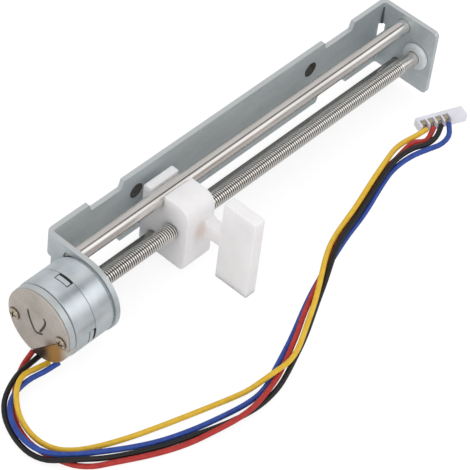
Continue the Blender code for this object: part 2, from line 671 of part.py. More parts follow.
def cap_screw(name, angle):
    """A small round head screw with a cross recess."""
    y, z = on_circle(cap_screw_circle, angle)
    face = motor_x(motor_end)
    under = face - 0.03 * mm
    top = face - cap_screw_head_height
    shank_end = motor_x(ring_start) - seat_gap
    side = cap_screw_rim
    profile = [(shank_end, 0), (shank_end, cap_screw_shank_radius), (under, cap_screw_shank_radius),
               (under, cap_screw_head_radius)]
    profile += [(under - side - (under - side - top) * rise, cap_screw_head_radius * out)
                for out, rise in arc((0, 0), 1, 0, 90, 4)]
    made = add_object(name, turned(profile, screw_head_steps, (y, z)), screw_brass(), at=(face, y, z))
    reach = 0.6 * cap_screw_head_radius
    for label, tall, wide in (("down", reach, cap_screw_recess), ("across", cap_screw_recess, reach)):
        points = [(-wide, -tall), (wide, -tall), (wide, tall), (-wide, tall)]
        shape = outline_prism(points, "X", top - sheet, top + cap_screw_head_height / 2)
        bmesh.ops.translate(shape, verts=shape.verts, vec=(0, y, z))
        cut(made, add_object("%s_recess_%s" % (name, label), shape, screw_brass()))


def wire_seal():
    """The amber resin that holds the wires in the corner of the motor's end."""
    start = motor_x(ring_start)
    end = motor_x(motor_end)
    outline = outlet_outline(2 * ring_radius, seat_gap)
    disc = turned([(start, 0), (start, ring_radius), (end, ring_radius), (end, 0)], can_steps)
    seal = add_object("wire_seal", disc, amber_resin())
    shape = outline_prism(outline, "X", end - sheet, start + sheet)
    cut(seal, add_object("seal_outline", shape, amber_resin()), "INTERSECT")


def rotor(axis):
    """Magnet ring on its hub, with the lead screw through it. All turn together."""
    middle = (can_start + can_end) / 2
    low = middle - magnet_length / 2
    high = middle + magnet_length / 2
    shaft = motor_shaft_radius
    hub_bore = shaft + running_gap
    profile = [(low, magnet_bore), (low, magnet_radius), (high, magnet_radius), (high, magnet_bore)]
    add_object("rotor_magnet", turned(seen_from_screw(profile), bush_steps), ferrite(), (0, 0, 0), axis)
    hub = magnet_bore - running_gap
    hub_low = low - hub_overhang
    hub_high = high + hub_overhang
    profile = [(hub_low, hub_bore), (hub_low, hub), (hub_high, hub), (hub_high, hub_bore)]
    add_object("rotor_hub", turned(seen_from_screw(profile), small_round_steps), bobbin_plastic(),
               (0, 0, 0), axis)
    shoulder = bearing_flange + 0.15 * mm
    edge = screw_edge
    far = inside_length + sheet + bush_tail - 0.9 * mm
    rear = motor_x(ring_start + ring_thickness - 0.3 * mm)
    thread_end = inside_length - screw_plain_length
    profile = [(rear, 0), (rear, shaft), (shoulder, shaft), (shoulder, screw_radius - edge),
               (shoulder + edge, screw_radius), (thread_end, screw_radius),
               (thread_end + 0.1 * mm, screw_tail_radius), (far - edge, screw_tail_radius),
               (far, screw_tail_radius - edge), (far, 0)]
    add_object("lead_screw", turned(profile, bush_steps), ground_steel(), (0, 0, 0), axis)
    return hub_low, hub_high


def bearings(rotor_front, rotor_rear):
    """A flanged bush in the near ear, a plain one in the end ring and a washer at each end of the rotor."""
    bore = motor_shaft_radius + running_gap
    front_inner = rotor_front - washer_thickness - 2 * seat_gap
    edge = 0.3 * mm
    profile = [(bearing_flange, bore), (bearing_flange, bearing_flange_radius),
               (seat_gap, bearing_flange_radius), (seat_gap, near_boss_radius),
               (motor_x(front_inner - edge), near_boss_radius),
               (motor_x(front_inner), near_boss_radius - edge), (motor_x(front_inner), bore)]
    add_object("front_bearing", turned(profile, bush_steps), bearing_bronze())
    ring_back = ring_start + ring_thickness
    rear_inner = rotor_rear + washer_thickness + 2 * seat_gap
    profile = [(rear_inner, bore), (rear_inner, bearing_radius), (ring_back, bearing_radius),
               (ring_back, bore)]
    add_object("rear_bearing", turned(seen_from_screw(profile), small_round_steps), bearing_bronze())
    for name, back in (("front_washer", rotor_front - washer_thickness - seat_gap),
                       ("rear_washer", rotor_rear + seat_gap)):
        profile = [(back, bore), (back, washer_radius), (back + washer_thickness, washer_radius),
                   (back + washer_thickness, bore)]
        add_object(name, turned(seen_from_screw(profile), small_round_steps), white_acetal())


def carriage_outline():
    """The carriage's block seen along the screw: round front top corner, open groove for the upper rod."""
    top = carriage_top
    front = -carriage_front
    rod_low = rod_height
    groove = rod_radius + running_gap
    points = arc((front + front_corner_radius, top - front_corner_radius), front_corner_radius, 180, 90, 8)
    points += [(rod_setback - groove, top)]
    points += arc((rod_setback, rod_low), groove, 180, 360, 16)
    points += arc((carriage_back - back_corner_radius / 2, back_wall_top - back_corner_radius / 2),
                  back_corner_radius / 2, 90, 0, 4)
    points.insert(len(points) - 5, (rod_setback + groove, back_wall_top))
    points += arc((carriage_back - lower_corner_radius, -carriage_bottom + lower_corner_radius),
                  lower_corner_radius, 0, -90, 4)
    points += arc((front + lower_corner_radius, -carriage_bottom + lower_corner_radius),
                  lower_corner_radius, -90, -180, 4)
    return points


def wing_outline():
    """The wing and its arm seen along the screw."""
    half = wing_half_height
    arm = arm_height / 2
    inner = -wing_inner
    front = -carriage_front
    root = front + 2 * arm_fillet
    wide = arm + arm_fillet
    points = [(-wing_outer, -half), (inner, -half), (inner, -arm)]
    points += [(front - arm_fillet, -arm), (front, -wide), (root, -wide), (root, wide), (front, wide),
               (front - arm_fillet, arm)]
    points += [(inner, arm), (inner, half), (-wing_outer, half)]
    return points


def carriage(axis):
    """The white moulding that runs on the screw and both rods."""
    start = carriage_start
    end = start + carriage_length
    at = (start, 0, 0)
    block = outline_prism(carriage_outline(), "X", start, end)
    body = add_object("carriage", block, white_acetal(), at, axis)
    wing = outline_prism(wing_outline(), "X", end - wing_thickness, end)
    cut(body, add_object("wing_join", wing, white_acetal(), at, axis), "UNION")
    for name, radius, y, z in (("nut_bore_cut", screw_radius + nut_gap, 0, 0),
                               ("lower_rod_bore_cut", rod_radius + running_gap, rod_setback, -rod_height)):
        profile = [(start - sheet, 0), (start - sheet, radius), (end + sheet, radius), (end + sheet, 0)]
        bore = turned(profile, round_steps, (y, z))
        cut(body, add_object(name, bore, white_acetal(), at, axis))


def smooth_route(points, spacing):
    """Reads evenly spaced points from a smooth curve through the route's own points."""
    knots = [Vector(point) for point in points]
    knots = [2 * knots[0] - knots[1]] + knots + [2 * knots[-1] - knots[-2]]
    fine = []
    for a, b, c, d in zip(knots, knots[1:], knots[2:], knots[3:]):
        for step in range(16):
            t = step / 16
            fine.append(0.5 * ((2 * b) + (c - a) * t + (2 * a - 5 * b + 4 * c - d) * t ** 2
                               + (3 * b - a - 3 * c + d) * t ** 3))
    fine.append(knots[-2])
    lengths = [0.0]
    for a, b in zip(fine, fine[1:]):
        lengths.append(lengths[-1] + (b - a).length)
    count = max(2, round(lengths[-1] / spacing))
    route = []
    index = 0
    for step in range(count + 1):
        wanted = lengths[-1] * step / count
        while index < len(fine) - 2 and lengths[index + 1] < wanted:
            index += 1
        part = (wanted - lengths[index]) / (lengths[index + 1] - lengths[index])
        route.append(fine[index].lerp(fine[index + 1], part))
    return route


def wire(name, points, color):
    """A plain tube along a wire's route, given in millimetres from the screw, height above the surface."""
    floor = -wing_half_height
    knots = [placed(x * mm, y * mm, floor + height * mm) for x, y, height in points]
    route = smooth_route(knots, wire_point_spacing)
    curve = bpy.data.curves.new(name, "CURVE")
    curve.dimensions = "3D"
    curve.bevel_depth = wire_radius
    curve.bevel_resolution = 2
    curve.use_fill_caps = True
    spline = curve.splines.new("POLY")
    spline.points.add(len(route) - 1)
    for point, place in zip(spline.points, route):
        point.co = (*place, 1.0)
    curve.materials.append(material(name + "_insulation", color, 0.45))
    made = bpy.data.objects.new(name, curve)
    bpy.context.collection.objects.link(made)


def plug_point(along, across, height):
    """A point on the plug: along its row from the first wire, across it, and up from its base."""
    turn = math.radians(plug_turn)
    x = plug_place[0] + along * math.cos(turn) - across * math.sin(turn)
    y = plug_place[1] + along * math.sin(turn) + across * math.cos(turn)
    return Vector((x, y, plug_base + height - wing_half_height))


def plug_block(name, along, across, height, surface):
    """A block square to the plug, given by its extents along, across and up."""
    block = bmesh.new()
    low = [block.verts.new(plug_point(a, b, height[0])) for a, b in
           ((along[0], across[0]), (along[1], across[0]), (along[1], across[1]), (along[0], across[1]))]
    face = block.faces.new(low)
    grown = bmesh.ops.extrude_face_region(block, geom=[face])
    moved = [item for item in grown["geom"] if isinstance(item, bmesh.types.BMVert)]
    bmesh.ops.translate(block, verts=moved, vec=(0, 0, height[1] - height[0]))
    return add_object(name, block, surface)


def plug():
    """The white housing with its row of open pockets, and a contact in each."""
    housing = plug_block("plug_housing", (-plug_lead, plug_length - plug_lead),
                         (plug_gap, plug_gap + plug_depth), (0.0, plug_height), plug_nylon())
    rounded = housing.modifiers.new("edges", "BEVEL")
    rounded.width = plug_edge
    rounded.segments = 2
    half = plug_pocket_width / 2
    for index in range(4):
        middle = index * plug_pitch
        pocket = plug_block("pocket_cut_%d" % (index + 1), (middle - half, middle + half),
                            (-sheet, plug_gap + plug_pocket_depth),
                            (plug_pocket_floor, plug_height + sheet), plug_nylon())
        cut(housing, pocket)
        wide = contact_width / 2
        back = plug_gap + plug_pocket_depth - seat_gap
        base = plug_pocket_floor + seat_gap
        plug_block("contact_%d" % (index + 1), (middle - wide, middle + wide),
                   (back - contact_length, back), (base, base + contact_height), contact_tin())


def main():
    for item in list(bpy.data.objects):
        bpy.data.objects.remove(item)
    bracket()
    guide_rod("upper_guide_rod", rod_height)
    guide_rod("lower_guide_rod", -rod_height)
    end_bush()
    front_plate()
    seam = (can_start + can_end) / 2
    stator_half("front", can_start, seam, False)
    stator_half("rear", can_end, seam, True)
    end_ring()
    end_cap()
    for index, angle in enumerate(cap_screw_angles):
        cap_screw("cap_screw_%d" % (index + 1), angle)
    wire_seal()
    screw_axis = add_axis("screw_axis", (0, 0, 0),
                          (-turns_to_far_ear * math.tau, turns_to_motor * math.tau))
    carriage_axis = add_axis("carriage_axis", (carriage_start, 0, 0),
                             (-turns_to_motor * screw_pitch, turns_to_far_ear * screw_pitch))
    bearings(*rotor(screw_axis))
    carriage(carriage_axis)
    plug()
    wire("wire_red", red_route, (0.55, 0.03, 0.02))
    wire("wire_black", black_route, (0.015, 0.014, 0.016))
    wire("wire_yellow", yellow_route, (0.80, 0.50, 0.03))
    wire("wire_blue", blue_route, (0.03, 0.08, 0.38))


main()
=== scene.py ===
import json
import math

import bmesh
import bpy
from mathutils import Matrix, Vector


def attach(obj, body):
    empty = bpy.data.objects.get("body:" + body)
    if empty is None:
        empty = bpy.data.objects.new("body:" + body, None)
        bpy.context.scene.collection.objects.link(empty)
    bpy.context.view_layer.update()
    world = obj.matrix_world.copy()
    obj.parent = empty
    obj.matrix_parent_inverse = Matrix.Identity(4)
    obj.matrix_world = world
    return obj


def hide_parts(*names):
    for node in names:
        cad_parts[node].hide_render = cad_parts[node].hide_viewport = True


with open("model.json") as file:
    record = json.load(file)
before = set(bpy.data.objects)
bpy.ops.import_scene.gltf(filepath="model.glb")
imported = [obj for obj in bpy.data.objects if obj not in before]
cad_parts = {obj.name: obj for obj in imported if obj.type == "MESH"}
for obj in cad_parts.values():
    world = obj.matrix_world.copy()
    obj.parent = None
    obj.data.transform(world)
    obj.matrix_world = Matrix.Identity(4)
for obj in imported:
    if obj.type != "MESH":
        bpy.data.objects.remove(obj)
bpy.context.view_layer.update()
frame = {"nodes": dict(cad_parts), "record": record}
mm = 0.001
screwStart = Vector((-0.039275, 0.002375, 0.0093))    # the screw's axis at the near ear's inner face
bodies = frame["record"]["behaviour"]["bodies"]
bodyOf = {node: body for body, nodes in bodies.items() for node in nodes}
print("frame loaded, nodes:", len(frame["nodes"]))


# Small helpers

def fromScrew(x, y, z):    # millimetres from the screw's start to metres in the frame
    return Vector((x, y, z)) * mm + screwStart


def fromTable(x, y, height):    # as above, with the height measured from the table
    return Vector((x * mm + screwStart.x, y * mm + screwStart.y, height * mm))


def hexColour(text):    # sRGB hex to the linear values that the shader wants
    values = [int(text[i:i + 2], 16) / 255 for i in (1, 3, 5)]
    linear = [v / 12.92 if v <= 0.04045 else ((v + 0.055) / 1.055) ** 2.4 for v in values]
    return (*linear, 1.0)


def hexStops(*pairs):    # a ramp's stops from pairs of position and hex
    return [(place, hexColour(colour)) for place, colour in pairs]


def setInputs(tree, node, inputs):    # a socket is linked, anything else is set on the input itself
    for key, value in inputs.items():
        if isinstance(value, bpy.types.NodeSocket):
            tree.links.new(value, node.inputs[key])
        else:
            node.inputs[key].default_value = value


def addNode(tree, kind, settings=None, inputs=None, stops=()):    # one node with its settings and links
    node = tree.nodes.new(kind)
    for key, value in (settings or {}).items():
        setattr(node, key, value)
    setInputs(tree, node, inputs or {})
    if stops:
        elements = node.color_ramp.elements
        while len(elements) < len(stops):
            elements.new(0.5)
        for element, (place, colour) in zip(elements, stops):
            element.position = place
            element.color = colour
    return node


def newMaterial(name):
    made = bpy.data.materials.new(name)
    made.use_nodes = True
    tree = made.node_tree
    return made, tree, tree.nodes["Principled BSDF"]


def finishPiece(name, shape, material, body, smoothAngle=35):
    bmesh.ops.recalc_face_normals(shape, faces=shape.faces)
    mesh = bpy.data.meshes.new(name)
    shape.to_mesh(mesh)
    shape.free()
    mesh.shade_smooth()
    mesh.set_sharp_from_angle(angle=math.radians(smoothAngle))
    mesh.materials.append(material)
    piece = bpy.data.objects.new(name, mesh)
    bpy.context.collection.objects.link(piece)
    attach(piece, body)
    return piece


def spunShape(outline, axis, steps, place):    # a closed outline of (x, y) in mm, spun full round
    shape = bmesh.new()
    ring = [shape.verts.new((x * mm, y * mm, 0)) for x, y in outline]
    edges = [shape.edges.new(pair) for pair in zip(ring, ring[1:] + ring[:1])]
    bmesh.ops.spin(shape, geom=ring + edges, cent=(0, 0, 0), axis=axis, angle=math.tau, steps=steps,
                   use_merge=True)
    bmesh.ops.remove_doubles(shape, verts=shape.verts, dist=1e-7)
    bmesh.ops.dissolve_degenerate(shape, dist=1e-7, edges=shape.edges)
    loose = [edge for edge in shape.edges if not edge.link_faces]
    bmesh.ops.delete(shape, geom=loose, context="EDGES")
    bmesh.ops.translate(shape, verts=shape.verts, vec=place)
    return shape


def barThrough(corners):    # a closed bar through rows of four corners
    shape = bmesh.new()
    rows = [[shape.verts.new(place) for place in row] for row in corners]
    for a, b in zip(rows, rows[1:]):
        for i in range(4):
            shape.faces.new((a[i], a[(i + 1) % 4], b[(i + 1) % 4], b[i]))
    shape.faces.new(rows[0])
    shape.faces.new(rows[-1])
    return shape


def smoothCurve(points, steps):    # a smooth curve, in so many steps from each point to the next
    knots = [2 * points[0] - points[1]] + points + [2 * points[-1] - points[-2]]
    fine = []
    for a, b, c, d in zip(knots, knots[1:], knots[2:], knots[3:]):
        for step in range(steps):
            t = step / steps
            fine.append(0.5 * (2 * b + (c - a) * t + (2 * a - 5 * b + 4 * c - d) * t ** 2
                               + (3 * b - a - 3 * c + d) * t ** 3))
    return fine + [points[-1]]


# Camera, at the photograph's angle

cameraSettings = {
    "azimuth": 36.846, "elevation": 46.116, "roll": 7.695,    # degrees, the way the camera looks
    "place": (-219.0457, -193.9988, 321.6787),    # millimetres from the screw's start
    "focalPixels": 2500.4, "framePixels": 470, "sensorMm": 36, "clipFrom": 0.01, "clipTo": 10,
}


def makeCamera(c):
    a, e, r = (math.radians(c[key]) for key in ("azimuth", "elevation", "roll"))
    look = Vector((math.cos(e) * math.cos(a), math.cos(e) * math.sin(a), -math.sin(e)))
    right = Vector((math.sin(a), -math.cos(a), 0))
    up = right.cross(look)
    camX = right * math.cos(r) + up * math.sin(r)
    camY = up * math.cos(r) - right * math.sin(r)
    turn = Matrix((camX, camY, -look)).transposed().to_4x4()
    data = bpy.data.cameras.new("camera")
    data.sensor_width = c["sensorMm"]
    data.lens = c["sensorMm"] * c["focalPixels"] / c["framePixels"]
    data.clip_start = c["clipFrom"]
    data.clip_end = c["clipTo"]
    camera = bpy.data.objects.new("camera", data)
    camera.matrix_world = Matrix.Translation(fromScrew(*c["place"])) @ turn
    bpy.context.collection.objects.link(camera)
    bpy.context.scene.camera = camera


makeCamera(cameraSettings)
print("camera set")


# Wires: PVC insulation on stranded copper, extruded, so a soft even gloss with faint scuffs

wireRoutes = {    # x and y from the screw's start, height above the table, in millimetres
    "red": (
        (-12.1, 1.09, 1.58), (-14.94, 0.45, 0.9), (-17.61, -0.93, 0.87), (-20.04, -2.7, 0.74),
        (-22.31, -4.66, 0.63), (-24.23, -6.96, 0.57), (-25.46, -9.7, 0.57), (-26.09, -12.63, 0.56),
        (-25.86, -15.62, 0.56), (-25.06, -18.52, 0.56), (-23.82, -21.24, 0.56), (-21.74, -23.4, 0.56),
        (-19.15, -24.91, 0.56), (-16.54, -26.41, 0.56), (-13.9, -27.86, 0.56), (-11.21, -29.19, 0.56),
        (-8.43, -30.35, 0.56), (-5.6, -31.35, 0.68), (-2.75, -32.24, 1.05), (0.14, -33, 1.33),
        (3.08, -33.57, 1.53), (6.07, -33.79, 1.73), (9.06, -33.54, 1.91), (12.01, -32.93, 1.98),
        (14.91, -32.13, 2), (17.65, -31.19, 2.75), (20.27, -30.23, 3.86), (22.9, -29.17, 4.87),
        (25.48, -27.98, 5.84), (28.14, -26.9, 6.75), (30.83, -25.94, 7.67), (33.51, -24.97, 8.63),
        (36.21, -24, 9.52), (38.96, -23.08, 10.32), (41.77, -22.28, 11.06), (44.6, -21.59, 11.78),
        (47.42, -20.95, 12.61), (50.22, -20.37, 13.54), (53.02, -19.79, 14.47), (55.88, -19.17, 15.17),
        (59.18, -19.23, 15.6), (62.23, -18.89, 15.85), (64.57, -19.07, 16.4), (67.55, -19.84, 15.53),
        (70.59, -18.99, 16.25),
    ),
    "black": (
        (-12, -0.41, 1.51), (-14.99, -0.76, 1.79), (-17.9, -1.33, 2.34), (-20.78, -2.22, 2.16),
        (-23.41, -3.61, 1.7), (-25.47, -5.79, 1.37), (-26.87, -8.47, 1.2), (-27.7, -11.37, 1.04),
        (-27.83, -14.38, 0.94), (-27.01, -17.25, 1.19), (-25.24, -19.61, 1.75), (-22.82, -21.4, 1.51),
        (-20.28, -22.91, 0.88), (-17.68, -24.43, 0.59), (-15.04, -25.92, 0.56), (-12.37, -27.34, 0.59),
        (-9.63, -28.62, 0.64), (-6.8, -29.71, 0.65), (-3.94, -30.69, 0.6), (-1.08, -31.69, 0.56),
        (1.82, -32.57, 0.56), (4.76, -33.27, 0.56), (7.75, -33.74, 0.67), (10.76, -33.82, 0.94),
        (13.74, -33.53, 1.4), (16.6, -32.78, 2.02), (19.38, -31.88, 2.82), (22.13, -30.97, 3.7),
        (24.82, -29.89, 4.58), (27.41, -28.72, 5.61), (29.91, -27.62, 6.93), (32.36, -26.63, 8.41),
        (34.82, -25.5, 9.76), (37.37, -24.3, 10.83), (40.1, -23.31, 11.68), (42.99, -22.69, 12.32),
        (45.9, -22.16, 12.97), (48.74, -21.55, 13.84), (51.53, -21, 14.87), (54.35, -20.49, 15.83),
        (57.27, -19.99, 16.46), (60.18, -19.85, 16.68), (63.47, -20.1, 16.46), (66.08, -20.88, 16.17),
        (69.3, -20.69, 15.96), (72.05, -19.58, 16.25),
    ),
    "yellow": (
        (-12.1, -2.92, 2.07), (-15.03, -2.45, 2.24), (-17.91, -2.48, 2.93), (-20.59, -3.72, 3.15),
        (-22.72, -5.76, 2.75), (-24.22, -8.22, 2.02), (-24.95, -11.04, 1.41), (-24.81, -13.97, 0.89),
        (-23.66, -16.68, 0.59), (-21.61, -18.83, 0.56), (-19.1, -20.44, 0.56), (-16.42, -21.76, 0.56),
        (-13.67, -22.92, 0.56), (-10.87, -23.96, 0.56), (-8.04, -24.91, 0.56), (-5.2, -25.83, 0.56),
        (-2.35, -26.72, 0.56), (0.51, -27.59, 0.56), (3.36, -28.45, 0.56), (6.22, -29.31, 0.6),
        (9.06, -30.19, 0.9), (11.75, -30.96, 1.89), (14.4, -31.68, 3.04), (17.29, -32.08, 3.58),
        (20.14, -31.6, 4.28), (22.78, -30.51, 5.12), (25.36, -29.3, 5.99), (27.87, -28.17, 7.13),
        (30.26, -26.91, 8.41), (32.66, -25.49, 9.5), (35.13, -24.04, 10.32), (37.75, -22.76, 10.95),
        (40.52, -21.95, 11.71), (43.33, -21.48, 12.61), (46.14, -21.03, 13.51), (48.92, -20.47, 14.44),
        (51.69, -19.89, 15.4), (54.52, -19.32, 16.17), (57.4, -18.7, 16.63), (60.3, -18, 16.6),
        (63.25, -17.72, 16.24), (66.21, -18.11, 16.21), (69.13, -18.4, 16.25),
    ),
    "blue": (
        (-11.5, -4.69, 3.07), (-14.36, -4.1, 2.49), (-17.24, -3.45, 2.19), (-20.19, -3.53, 1.92),
        (-22.92, -4.66, 2.04), (-25.07, -6.7, 2.21), (-26.51, -9.3, 2.17), (-27.12, -12.19, 1.99),
        (-26.75, -15.12, 1.79), (-25.33, -17.72, 1.73), (-23.16, -19.74, 1.54), (-20.67, -21.36, 1.31),
        (-18.12, -22.88, 1.05), (-15.54, -24.35, 0.81), (-12.92, -25.75, 0.64), (-10.25, -27.07, 0.56),
        (-7.5, -28.22, 0.56), (-4.69, -29.19, 0.56), (-1.82, -30.02, 0.56), (1.07, -30.73, 0.56),
        (3.98, -31.37, 0.56), (6.91, -31.9, 0.63), (9.87, -32.13, 0.85), (12.78, -31.69, 1.22),
        (15.55, -30.73, 1.76), (18.3, -29.88, 2.5), (21.02, -29.03, 3.37), (23.69, -28.06, 4.24),
        (26.35, -27.02, 5.11), (29.03, -26.05, 5.99), (31.75, -25.21, 6.88), (34.51, -24.58, 7.79),
        (37.29, -24.03, 8.72), (40.06, -23.46, 9.67), (42.83, -22.99, 10.63), (45.63, -22.69, 11.61),
        (48.4, -22.26, 12.61), (51.13, -21.66, 13.65), (53.89, -21.05, 14.59), (56.74, -20.57, 15.29),
        (59.66, -20.62, 15.79), (62.57, -21.13, 16.13), (65.44, -21.9, 16.15), (68.35, -22.55, 16.02),
        (71.26, -22.08, 16.01), (73.51, -20.17, 16.25),
    ),
}

wireShape = {"radius": 0.5, "spacing": 1.1, "curveSteps": 16, "roundness": 4}    # two in mm, two in steps
wireLook = {
    "red": ("#A61E1C", "#BF332A"), "black": ("#0F0E0F", "#1B191A"), "yellow": ("#DDAE20", "#ECC53C"),
    "blue": ("#1D3C90", "#2C52AC"),
    "scuffMm": 1.111, "rough": (0.32, 0.5),
    "grainMm": 0.25, "bump": 0.15, "bumpMm": 0.03,    # coarser than the real skin, so that it shows
}


def wireMaterial(colour, look):
    dark, light = look[colour]
    made, tree, shader = newMaterial(colour + "PvcInsulation")
    place = addNode(tree, "ShaderNodeTexCoord")
    scuff = addNode(tree, "ShaderNodeTexNoise", inputs={
        "Vector": place.outputs["Object"], "Scale": 1000 / look["scuffMm"], "Detail": 4.0,
        "Roughness": 0.6})
    shade = addNode(tree, "ShaderNodeValToRGB", inputs={"Fac": scuff.outputs["Fac"]},
                    stops=hexStops((0.3, dark), (0.75, light)))
    gloss = addNode(tree, "ShaderNodeMapRange", inputs={
        "Value": scuff.outputs["Fac"], "To Min": look["rough"][0], "To Max": look["rough"][1]})
    grain = addNode(tree, "ShaderNodeTexNoise", inputs={
        "Vector": place.outputs["Object"], "Scale": 1000 / look["grainMm"], "Detail": 2.0})
    bump = addNode(tree, "ShaderNodeBump", inputs={
        "Height": grain.outputs["Fac"], "Strength": look["bump"], "Distance": look["bumpMm"] * mm})
    setInputs(tree, shader, {"Base Color": shade.outputs["Color"], "Roughness": gloss.outputs["Result"],
                             "Normal": bump.outputs["Normal"]})
    return made


def evenRoute(points, steps, spacing):    # evenly spaced points on the route's smooth curve, and its length
    fine = smoothCurve(points, steps)
    lengths = [0.0]
    for a, b in zip(fine, fine[1:]):
        lengths.append(lengths[-1] + (b - a).length)
    count = round(lengths[-1] / spacing)
    route, index = [], 0
    for step in range(count + 1):
        wanted = lengths[-1] * step / count
        while index < len(fine) - 2 and lengths[index + 1] < wanted:
            index += 1
        part = (wanted - lengths[index]) / (lengths[index + 1] - lengths[index])
        route.append(fine[index].lerp(fine[index + 1], part))
    return route, lengths[-1]


for colour, points in wireRoutes.items():
    route, length = evenRoute([fromTable(*p) for p in points], wireShape["curveSteps"],
                              wireShape["spacing"] * mm)
    curve = bpy.data.curves.new(colour + "Insulation", "CURVE")
    curve.dimensions = "3D"
    curve.bevel_depth = wireShape["radius"] * mm
    curve.bevel_resolution = wireShape["roundness"]
    curve.use_fill_caps = True
    spline = curve.splines.new("POLY")
    spline.points.add(len(route) - 1)
    for point, place in zip(spline.points, route):
        point.co = (*place, 1)
    spline.use_smooth = True
    curve.materials.append(wireMaterial(colour, wireLook))
    piece = bpy.data.objects.new(colour + "Insulation", curve)
    bpy.context.collection.objects.link(piece)
    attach(piece, "slide_frame")
    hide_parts("wire_" + colour)
print("wires laid")


# Finishes, with each pattern's size in millimetres

noiseLow, noiseHigh = 0.3, 0.7    # a noise texture hardly leaves this range
faintBump, metalGrainMm, plasticGrainMm = 0.15, 0.01, 0.02    # the finest grain of the plain finishes

sheetLook = {
    "dark": "#C9D2D5", "middle": "#D8E0E3", "light": "#E6ECEE",
    "cutEdge": "#DADEDF", "cutFacing": (0.6, 0.9),    # the sheared edge, where a face looks this far up
    "grainMm": 0.35, "grainShare": 0.35,    # coarser than the real zinc crystals, so that it shows
    "mottleMm": 6.0, "rolling": 0.35,
    "metallic": 0.78, "rough": (0.42, 0.56), "bump": 0.35, "bumpMm": 0.02,
}


def zincPlatedSheet(look):    # rolled steel strip, zinc plated: cool grey, cloudy, with a fine matt grain
    made, tree, shader = newMaterial("zincPlatedSheet")
    place = addNode(tree, "ShaderNodeTexCoord")
    rolled = addNode(tree, "ShaderNodeMapping", inputs={
        "Vector": place.outputs["Object"], "Scale": (look["rolling"], 1, 1)})
    cloud = addNode(tree, "ShaderNodeTexNoise", inputs={
        "Vector": rolled.outputs["Vector"], "Scale": 1000 / look["mottleMm"], "Detail": 5.0,
        "Roughness": 0.6})
    grain = addNode(tree, "ShaderNodeTexNoise", inputs={
        "Vector": rolled.outputs["Vector"], "Scale": 1000 / look["grainMm"], "Detail": 3.0})
    mix = addNode(tree, "ShaderNodeMath", {"operation": "MULTIPLY_ADD"},
                  {0: grain.outputs["Fac"], 1: look["grainShare"], 2: cloud.outputs["Fac"]})
    shade = addNode(tree, "ShaderNodeValToRGB", inputs={"Fac": mix.outputs["Value"]}, stops=hexStops(
        (0.42, look["dark"]), (0.66, look["middle"]), (0.9, look["light"])))
    facing = addNode(tree, "ShaderNodeSeparateXYZ", inputs={"Vector": place.outputs["Normal"]})
    upright = addNode(tree, "ShaderNodeMath", {"operation": "ABSOLUTE"}, {0: facing.outputs["Z"]})
    edge = addNode(tree, "ShaderNodeMapRange", inputs={
        "Value": upright.outputs["Value"],
        "From Min": look["cutFacing"][0], "From Max": look["cutFacing"][1]})
    both = addNode(tree, "ShaderNodeMix", {"data_type": "RGBA"}, {
        0: edge.outputs["Result"], 6: shade.outputs["Color"], 7: hexColour(look["cutEdge"])})
    rough = addNode(tree, "ShaderNodeMapRange", inputs={
        "Value": cloud.outputs["Fac"], "From Min": noiseLow, "From Max": noiseHigh,
        "To Min": look["rough"][0], "To Max": look["rough"][1]})
    bump = addNode(tree, "ShaderNodeBump", inputs={
        "Height": grain.outputs["Fac"], "Strength": look["bump"], "Distance": look["bumpMm"] * mm})
    setInputs(tree, shader, {
        "Base Color": both.outputs[2], "Roughness": rough.outputs["Result"],
        "Normal": bump.outputs["Normal"],
        "Metallic": look["metallic"]})    # the chromate film over the zinc scatters some light
    return made


canLook = {
    "dark": "#CBD5DA", "middle": "#DEE6EB", "light": "#F1F6FA",
    "grainMm": 0.5, "mottleMm": 5.0, "drawing": 8,
    "metallic": 0.8, "rough": (0.26, 0.36), "bump": 0.2, "bumpMm": 0.02,
}


def drawnCanSteel(look):    # deep drawn steel, bright zinc plated: smooth, with faint lines round the can
    made, tree, shader = newMaterial("drawnCanSteel")
    place = addNode(tree, "ShaderNodeTexCoord")
    cloud = addNode(tree, "ShaderNodeTexNoise", inputs={
        "Vector": place.outputs["Object"], "Scale": 1000 / look["mottleMm"], "Detail": 5.0,
        "Roughness": 0.55})
    lines = addNode(tree, "ShaderNodeMapping", inputs={
        "Vector": place.outputs["Object"], "Scale": (look["drawing"], 1, 1)})
    grain = addNode(tree, "ShaderNodeTexNoise", inputs={
        "Vector": lines.outputs["Vector"], "Scale": 1000 / look["grainMm"] / look["drawing"],
        "Detail": 3.0})
    shade = addNode(tree, "ShaderNodeValToRGB", inputs={"Fac": cloud.outputs["Fac"]}, stops=hexStops(
        (0.3, look["dark"]), (0.52, look["middle"]), (0.78, look["light"])))
    rough = addNode(tree, "ShaderNodeMapRange", inputs={
        "Value": cloud.outputs["Fac"], "From Min": noiseLow, "From Max": noiseHigh,
        "To Min": look["rough"][0], "To Max": look["rough"][1]})
    bump = addNode(tree, "ShaderNodeBump", inputs={
        "Height": grain.outputs["Fac"], "Strength": look["bump"], "Distance": look["bumpMm"] * mm})
    setInputs(tree, shader, {
        "Base Color": shade.outputs["Color"], "Roughness": rough.outputs["Result"],
        "Normal": bump.outputs["Normal"], "Metallic": look["metallic"]})
    return made


capLook = {
    "dark": "#A9A199", "middle": "#BAB2AA", "light": "#C8C1B9", "grainMm": 0.25, "grainShare": 0.4,
    "cloudMm": 4.545, "metallic": 0.25, "roughness": 0.55, "bump": 0.3, "bumpMm": 0.02,
    # the brown patch under the lower screw is a resin stain and painted shadow
    "stainAndShadow": "#6E5638", "stainAndShadowAt": (0, -4.3, -3.0), "stainAndShadowRadius": 3.0, "stainAndShadowCore": 0.8,
    "stainAndShadowStrength": 0.9,
}


